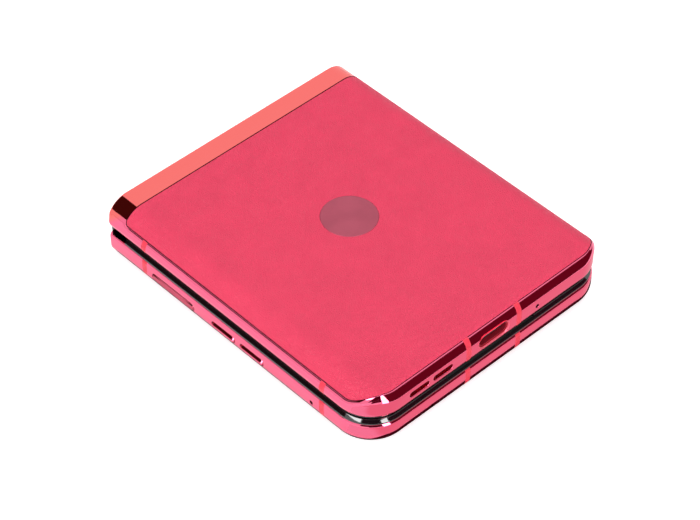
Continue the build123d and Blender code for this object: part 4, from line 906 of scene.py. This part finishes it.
dress(screen_film, "inner_display_flip", "inner_display_base")
dress(finish("outer_screen", (0.01, 0.01, 0.014), 0.0, (0.12, 0.18), 200.0, 0.1, 900.0, 5e-7),
      "outer_display_panel")
dress(finish("dark_polished_spine", (0.035, 0.014, 0.016), 1.0, (0.1, 0.16), 200.0, 0.05, 1800.0, 6e-7,
             (0.15, 1.0, 1.0)), "spine_cover")
dress(finish("machined_steel", (0.56, 0.56, 0.58), 1.0, (0.24, 0.34), 500.0, 0.05, 2600.0, 2e-6,
             (0.2, 1.0, 1.0)),
      "hinge_brackets", "flip_swing_arms", "base_swing_arms", "sync_gear_flip", "sync_gear_base",
      "flip_wing_plate", "base_wing_plate")
dress(finish("red_socket_shell", (0.42, 0.02, 0.04), 0.2, (0.32, 0.4), 500.0, 0.05, 2600.0, 2e-6),
      "usb_socket")
dress(finish("blackened_screw_steel", (0.22, 0.22, 0.23), 1.0, (0.26, 0.36), 700.0, 0.06, 4000.0, 3e-6),
      "spine_screws", "flip_screws", "base_screws")
dress(finish("blasted_aluminium", (0.5, 0.51, 0.53), 1.0, (0.4, 0.52), 400.0, 0.05, 5200.0, 6e-6),
      "flip_carrier_plate", "base_carrier_plate", "cover_plate")
dress(finish("battery_laminate", (0.045, 0.045, 0.05), 0.3, (0.35, 0.5), 160.0, 0.12, 900.0, 1e-5),
      "flip_battery", "base_battery")
dress(finish("green_solder_mask", (0.018, 0.085, 0.045), 0.0, (0.28, 0.4), 700.0, 0.2, 2600.0, 8e-6),
      "main_board", "lower_board")
dress(finish("stamped_shield_tin", (0.68, 0.68, 0.7), 1.0, (0.26, 0.36), 260.0, 0.05, 1500.0, 5e-6),
      "board_shields", "sim_reader", "vibration_motor")
dress(finish("enamelled_copper", (0.72, 0.34, 0.17), 1.0, (0.24, 0.34), 500.0, 0.08, 2600.0, 6e-6),
      "charging_coil")
dress(finish("nickel_plate", (0.66, 0.67, 0.7), 1.0, (0.16, 0.24), 400.0, 0.04, 2600.0, 2e-6),
      "flip_magnets", "base_magnets")
dress(finish("moulded_black_plastic", (0.028, 0.028, 0.031), 0.0, (0.4, 0.52), 500.0, 0.12, 3600.0, 8e-6),
      "camera_modules", "inner_camera", "earpiece_speaker", "flip_microphones", "key_switches", "key_strip",
      "loudspeaker", "base_microphone", "usb_contact_blade")
dress(finish("woven_speaker_mesh", (0.12, 0.02, 0.03), 0.3, (0.4, 0.55), 1500.0, 0.3, 6000.0, 2e-5),
      "speaker_mesh")
dress(pink_metal, "sim_tray")

# ---------------------------------------------------------------- studio
# The phone lies on white paper in a white room, under an overhead softbox, with a softbox on the left and a
# tall strip in front. Cards that only reflections show give the polished metal its bright and dark lines.
def floor_paper():
    """White paper. Its own light lifts it to white for the camera and partly for reflections, over what the
    lamps and the object's shadow give."""
    paper = bpy.data.materials.new("white_paper")
    paper.use_nodes = True
    nodes, links = paper.node_tree.nodes, paper.node_tree.links
    nodes["Principled BSDF"].inputs["Base Color"].default_value = (0.86, 0.86, 0.86, 1.0)
    nodes["Principled BSDF"].inputs["Roughness"].default_value = 0.9
    nodes["Principled BSDF"].inputs["Specular IOR Level"].default_value = 0.1
    glow, seen, both = (nodes.new("ShaderNode" + kind) for kind in ("Emission", "LightPath", "AddShader"))
    partly = reckon(paper.node_tree, "MULTIPLY", seen.outputs["Is Glossy Ray"], 0.2)
    lift = reckon(paper.node_tree, "MULTIPLY_ADD", seen.outputs["Is Camera Ray"], 0.62, partly)
    links.new(lift, glow.inputs["Strength"])
    links.new(nodes["Principled BSDF"].outputs["BSDF"], both.inputs[0])
    links.new(glow.outputs["Emission"], both.inputs[1])
    links.new(both.outputs["Shader"], nodes["Material Output"].inputs["Surface"])
    return paper


across = np.linspace(-6000, 6000, 9)
floor_grid = np.stack(np.broadcast_arrays(across[:, None], across[None, :], 0.0), axis=-1)
floor = make_piece("table_top", (floor_grid, grid_faces(floor_grid.shape)))
wear(floor, floor_paper())


def studio_card(name, x, y, z, colour, closed=False):
    """A card over a grid of points, which only reflections show. It glows in one colour, or in the colours
    given for its points. A closed card's last row runs on to its first."""
    grid = np.stack(np.broadcast_arrays(x, y, z), axis=-1)
    card = make_piece(name, (grid, grid_faces(grid.shape, closed)))
    coat = bpy.data.materials.new(name + "_paint")
    coat.use_nodes = True
    nodes, links = coat.node_tree.nodes, coat.node_tree.links
    tint = nodes.new("ShaderNodeEmission")
    colours = np.ones((grid.shape[0] * grid.shape[1], 4), dtype=np.float32)
    colours[:, :3] = np.broadcast_to(colour, grid.shape).reshape(-1, 3)
    painted = card.data.color_attributes.new("paint", "FLOAT_COLOR", "POINT")
    painted.data.foreach_set("color", colours.ravel())
    paint = nodes.new("ShaderNodeAttribute")
    paint.attribute_name = "paint"
    links.new(paint.outputs["Color"], tint.inputs["Color"])
    links.new(tint.outputs["Emission"], nodes["Material Output"].inputs["Surface"])
    wear(card, coat)
    card.visible_camera = card.visible_diffuse = card.visible_shadow = card.visible_transmission = False


CORNER_X, CORNER_Y = -30.0, -40.0


def around_corner(first, last, steps, reach):
    """Plan points about the phone's near left corner, at bearings in degrees down the rows and at a reach
    in millimetres across them: the corner plus the reach times the bearing's cosine and sine."""
    bearing = np.radians(np.linspace(first, last, steps))[:, None]
    return CORNER_X + reach * np.cos(bearing), CORNER_Y + reach * np.sin(bearing)


# A dark card lies before the socket edge from 17 mm off and then stands up. Its left edge runs out from the
# near left corner, beside the sheen that the front strip lays on the table.
part, share = np.linspace(0.0, 1.0, 30)[None, :], np.linspace(0.0, 1.0, 12)[:, None]
card_y = SOCKET_END - 17.0 - 333.0 * np.minimum(part * 1.6, 1.0) + 0 * share
card_x = blended(CORNER_X - 0.021 * (card_y - CORNER_Y), 620.0, share)
studio_card("front_card", card_x, card_y, 0.3 + 290.0 * ease((part - 0.35) / 0.65), (0.13, 0.009, 0.028))
reach = np.linspace(18.0, 540.0, 12)[None, :]
studio_card("strip_sheen", *around_corner(-89.2, -106.2, 6, reach), 0.25, (6.0, 6.0, 6.0))
height = np.linspace(0.25, 490.0, 8)[None, :]
studio_card("strip_face", *around_corner(-89.2, -106.2, 6, 545.0), height, (9.0, 9.0, 9.0))
# The left softbox has a bright face of its own, and dark velvet hangs between the two bright faces.
height = np.linspace(375.0, 753.0, 6)[None, :]
studio_card("left_face", *around_corner(-160.0, -215.0, 12, 500.0), height, (9.0, 9.0, 9.0))
rise = np.radians(np.linspace(4.0, 58.0, 24))[None, :]
velvet_x, velvet_y = around_corner(-107.2, -157.0, 24, 900.0 * np.cos(rise))
studio_card("camera_velvet", velvet_x, velvet_y, 900.0 * np.sin(rise), (0.08, 0.008, 0.024))
reach = np.linspace(28.0, 420.0, 12)[None, :]
studio_card("corner_card", *around_corner(-107.2, -140.0, 12, reach), 0.3 + 0.08 * reach, (0.1, 0.01, 0.03))
# A long arched card stands behind, from overhead round to the left.
arch, along = np.radians(np.linspace(-2.7, 69.3, 40))[:, None], np.linspace(115.0, 1600.0, 12)[None, :]
studio_card("arched_card", -500.0 * np.sin(arch), along, 500.0 * np.cos(arch), (0.05, 0.012, 0.01))
# A dark card under the phone, seen only in reflections, paints the contact shadow that the lower edges
# reflect. It shows 2.1 mm before the socket edge and on the right, and draws back under the left side and the
# hinge end.
turned = np.degrees(np.where(outline[3] > np.pi / 2, np.pi - outline[3], outline[3]))
draw = np.where(outline[0] < 0, blended(0.2, -2.1, ease((-turned - 40.0) / 35.0)), -2.1)
shadow_x, shadow_y = rim_points(outline, np.where(turned > 0, 0.4, draw))
share = np.linspace(0.3, 1.0, 4)[None, :]
shadow_x, shadow_y = shadow_x[:, None] * share, shadow_y[:, None] * share
studio_card("painted_contact_shadow", shadow_x, shadow_y, 0.15, (0.05, 0.008, 0.016), closed=True)
# A card seen only in reflections paints the pink light that the phone throws on the table close to the socket
# edge, and the painted pink fades out round the near left corner, further round at a distance than close by.
bearing = np.degrees(outline[3])
left, right = (bearing > 185.0) & (bearing <= 270.0), bearing <= -5.0
bounce_rows = np.concatenate([np.flatnonzero(left), np.flatnonzero(right)])
x, y, radius, angle = (value[bounce_rows][:, None] for value in outline)
out = np.linspace(2.2, 15.0, 9)[None, :]
bounce_x, bounce_y = rim_points((x, y, radius, angle), -out)
round_by = np.where(angle > 0, 270.0 - np.degrees(angle), 0.0)
fade = ease((round_by - (12.0 + 3.6 * out)) / 14.0)[..., None]
studio_card("painted_pink_bounce", bounce_x, bounce_y, 0.2, blended(np.array([0.9, 0.62, 0.64]), 1.0, fade))


def lamp(name, place, target, width, height, watts):
    """A soft rectangular lamp that faces a point, its local -Z along the line to it."""
    data = bpy.data.lights.new(name, "AREA")
    data.shape, data.size, data.size_y, data.energy = "RECTANGLE", width, height, watts
    light = bpy.data.objects.new(name, data)
    bpy.context.scene.collection.objects.link(light)
    place, target = np.array(place), np.array(target)
    back = (place - target) / np.linalg.norm(place - target)
    right = np.cross([0.0, 0.0, 1.0], back)
    right = right / np.linalg.norm(right)
    up = np.cross(back, right)
    axes = np.eye(4)
    axes[:3, 0], axes[:3, 1], axes[:3, 2], axes[:3, 3] = right, up, back, place
    light.matrix_world = Matrix(axes.tolist())
    return light


lamp("overhead_softbox", (0.1, 0.1, 0.75), (0.0, 0.0, 0.0), 0.5, 0.5, 2.1)
left_softbox = lamp("left_softbox", (-0.6, -0.06, 0.3), (0.0, 0.0, 0.0), 0.34, 0.26, 1.7)
front_strip = lamp("front_strip", (-0.03, -0.6, 0.26), (-0.03, -0.04, 0.26), 0.17, 0.5, 1.5)
left_softbox.visible_glossy = front_strip.visible_glossy = False  # their cards stand for them in reflections

world = bpy.data.worlds.new("white_room")
bpy.context.scene.world = world
world.use_nodes = True
nodes, links = world.node_tree.nodes, world.node_tree.links
path = nodes.new("ShaderNodeLightPath")
direct = reckon(world.node_tree, "MAXIMUM", path.outputs["Is Camera Ray"], path.outputs["Is Glossy Ray"])
through = reckon(world.node_tree, "MAXIMUM", direct, path.outputs["Is Transmission Ray"])
strength = nodes.new("ShaderNodeMapRange")
strength.inputs["To Min"].default_value, strength.inputs["To Max"].default_value = 0.5, 1.0
links.new(through, strength.inputs["Value"])
links.new(strength.outputs["Result"], nodes["Background"].inputs["Strength"])
nodes["Background"].inputs["Color"].default_value = (1.0, 1.0, 1.0, 1.0)

# The camera stands 0.57 m away, at the phone's left front corner, and looks down at 45 degrees.
turn, tilt = np.radians(-43.357), np.radians(44.821)
back = np.array([np.sin(turn) * np.cos(tilt), -np.cos(turn) * np.cos(tilt), np.sin(tilt)])
right = np.array([np.cos(turn), np.sin(turn), 0.0])
upward = np.cross(back, right)
view_frame = np.eye(4)
view_frame[:3, 0], view_frame[:3, 1], view_frame[:3, 2] = right, upward, back
view_frame[:3, 3] = (np.array([0.0, 0.0, 7.66]) + 568.11 * back - 0.684 * right - 3.658 * upward) * 0.001
camera_data = bpy.data.cameras.new("camera")
camera_data.lens, camera_data.sensor_width = 2532.367 * 36.0 / 700.0, 36.0
camera_data.clip_start, camera_data.clip_end = 0.01, 50.0
camera = bpy.data.objects.new("camera", camera_data)
bpy.context.scene.collection.objects.link(camera)
camera.matrix_world = Matrix(view_frame.tolist())
bpy.context.scene.camera = camera
bpy.context.scene.view_settings.view_transform = "Standard"
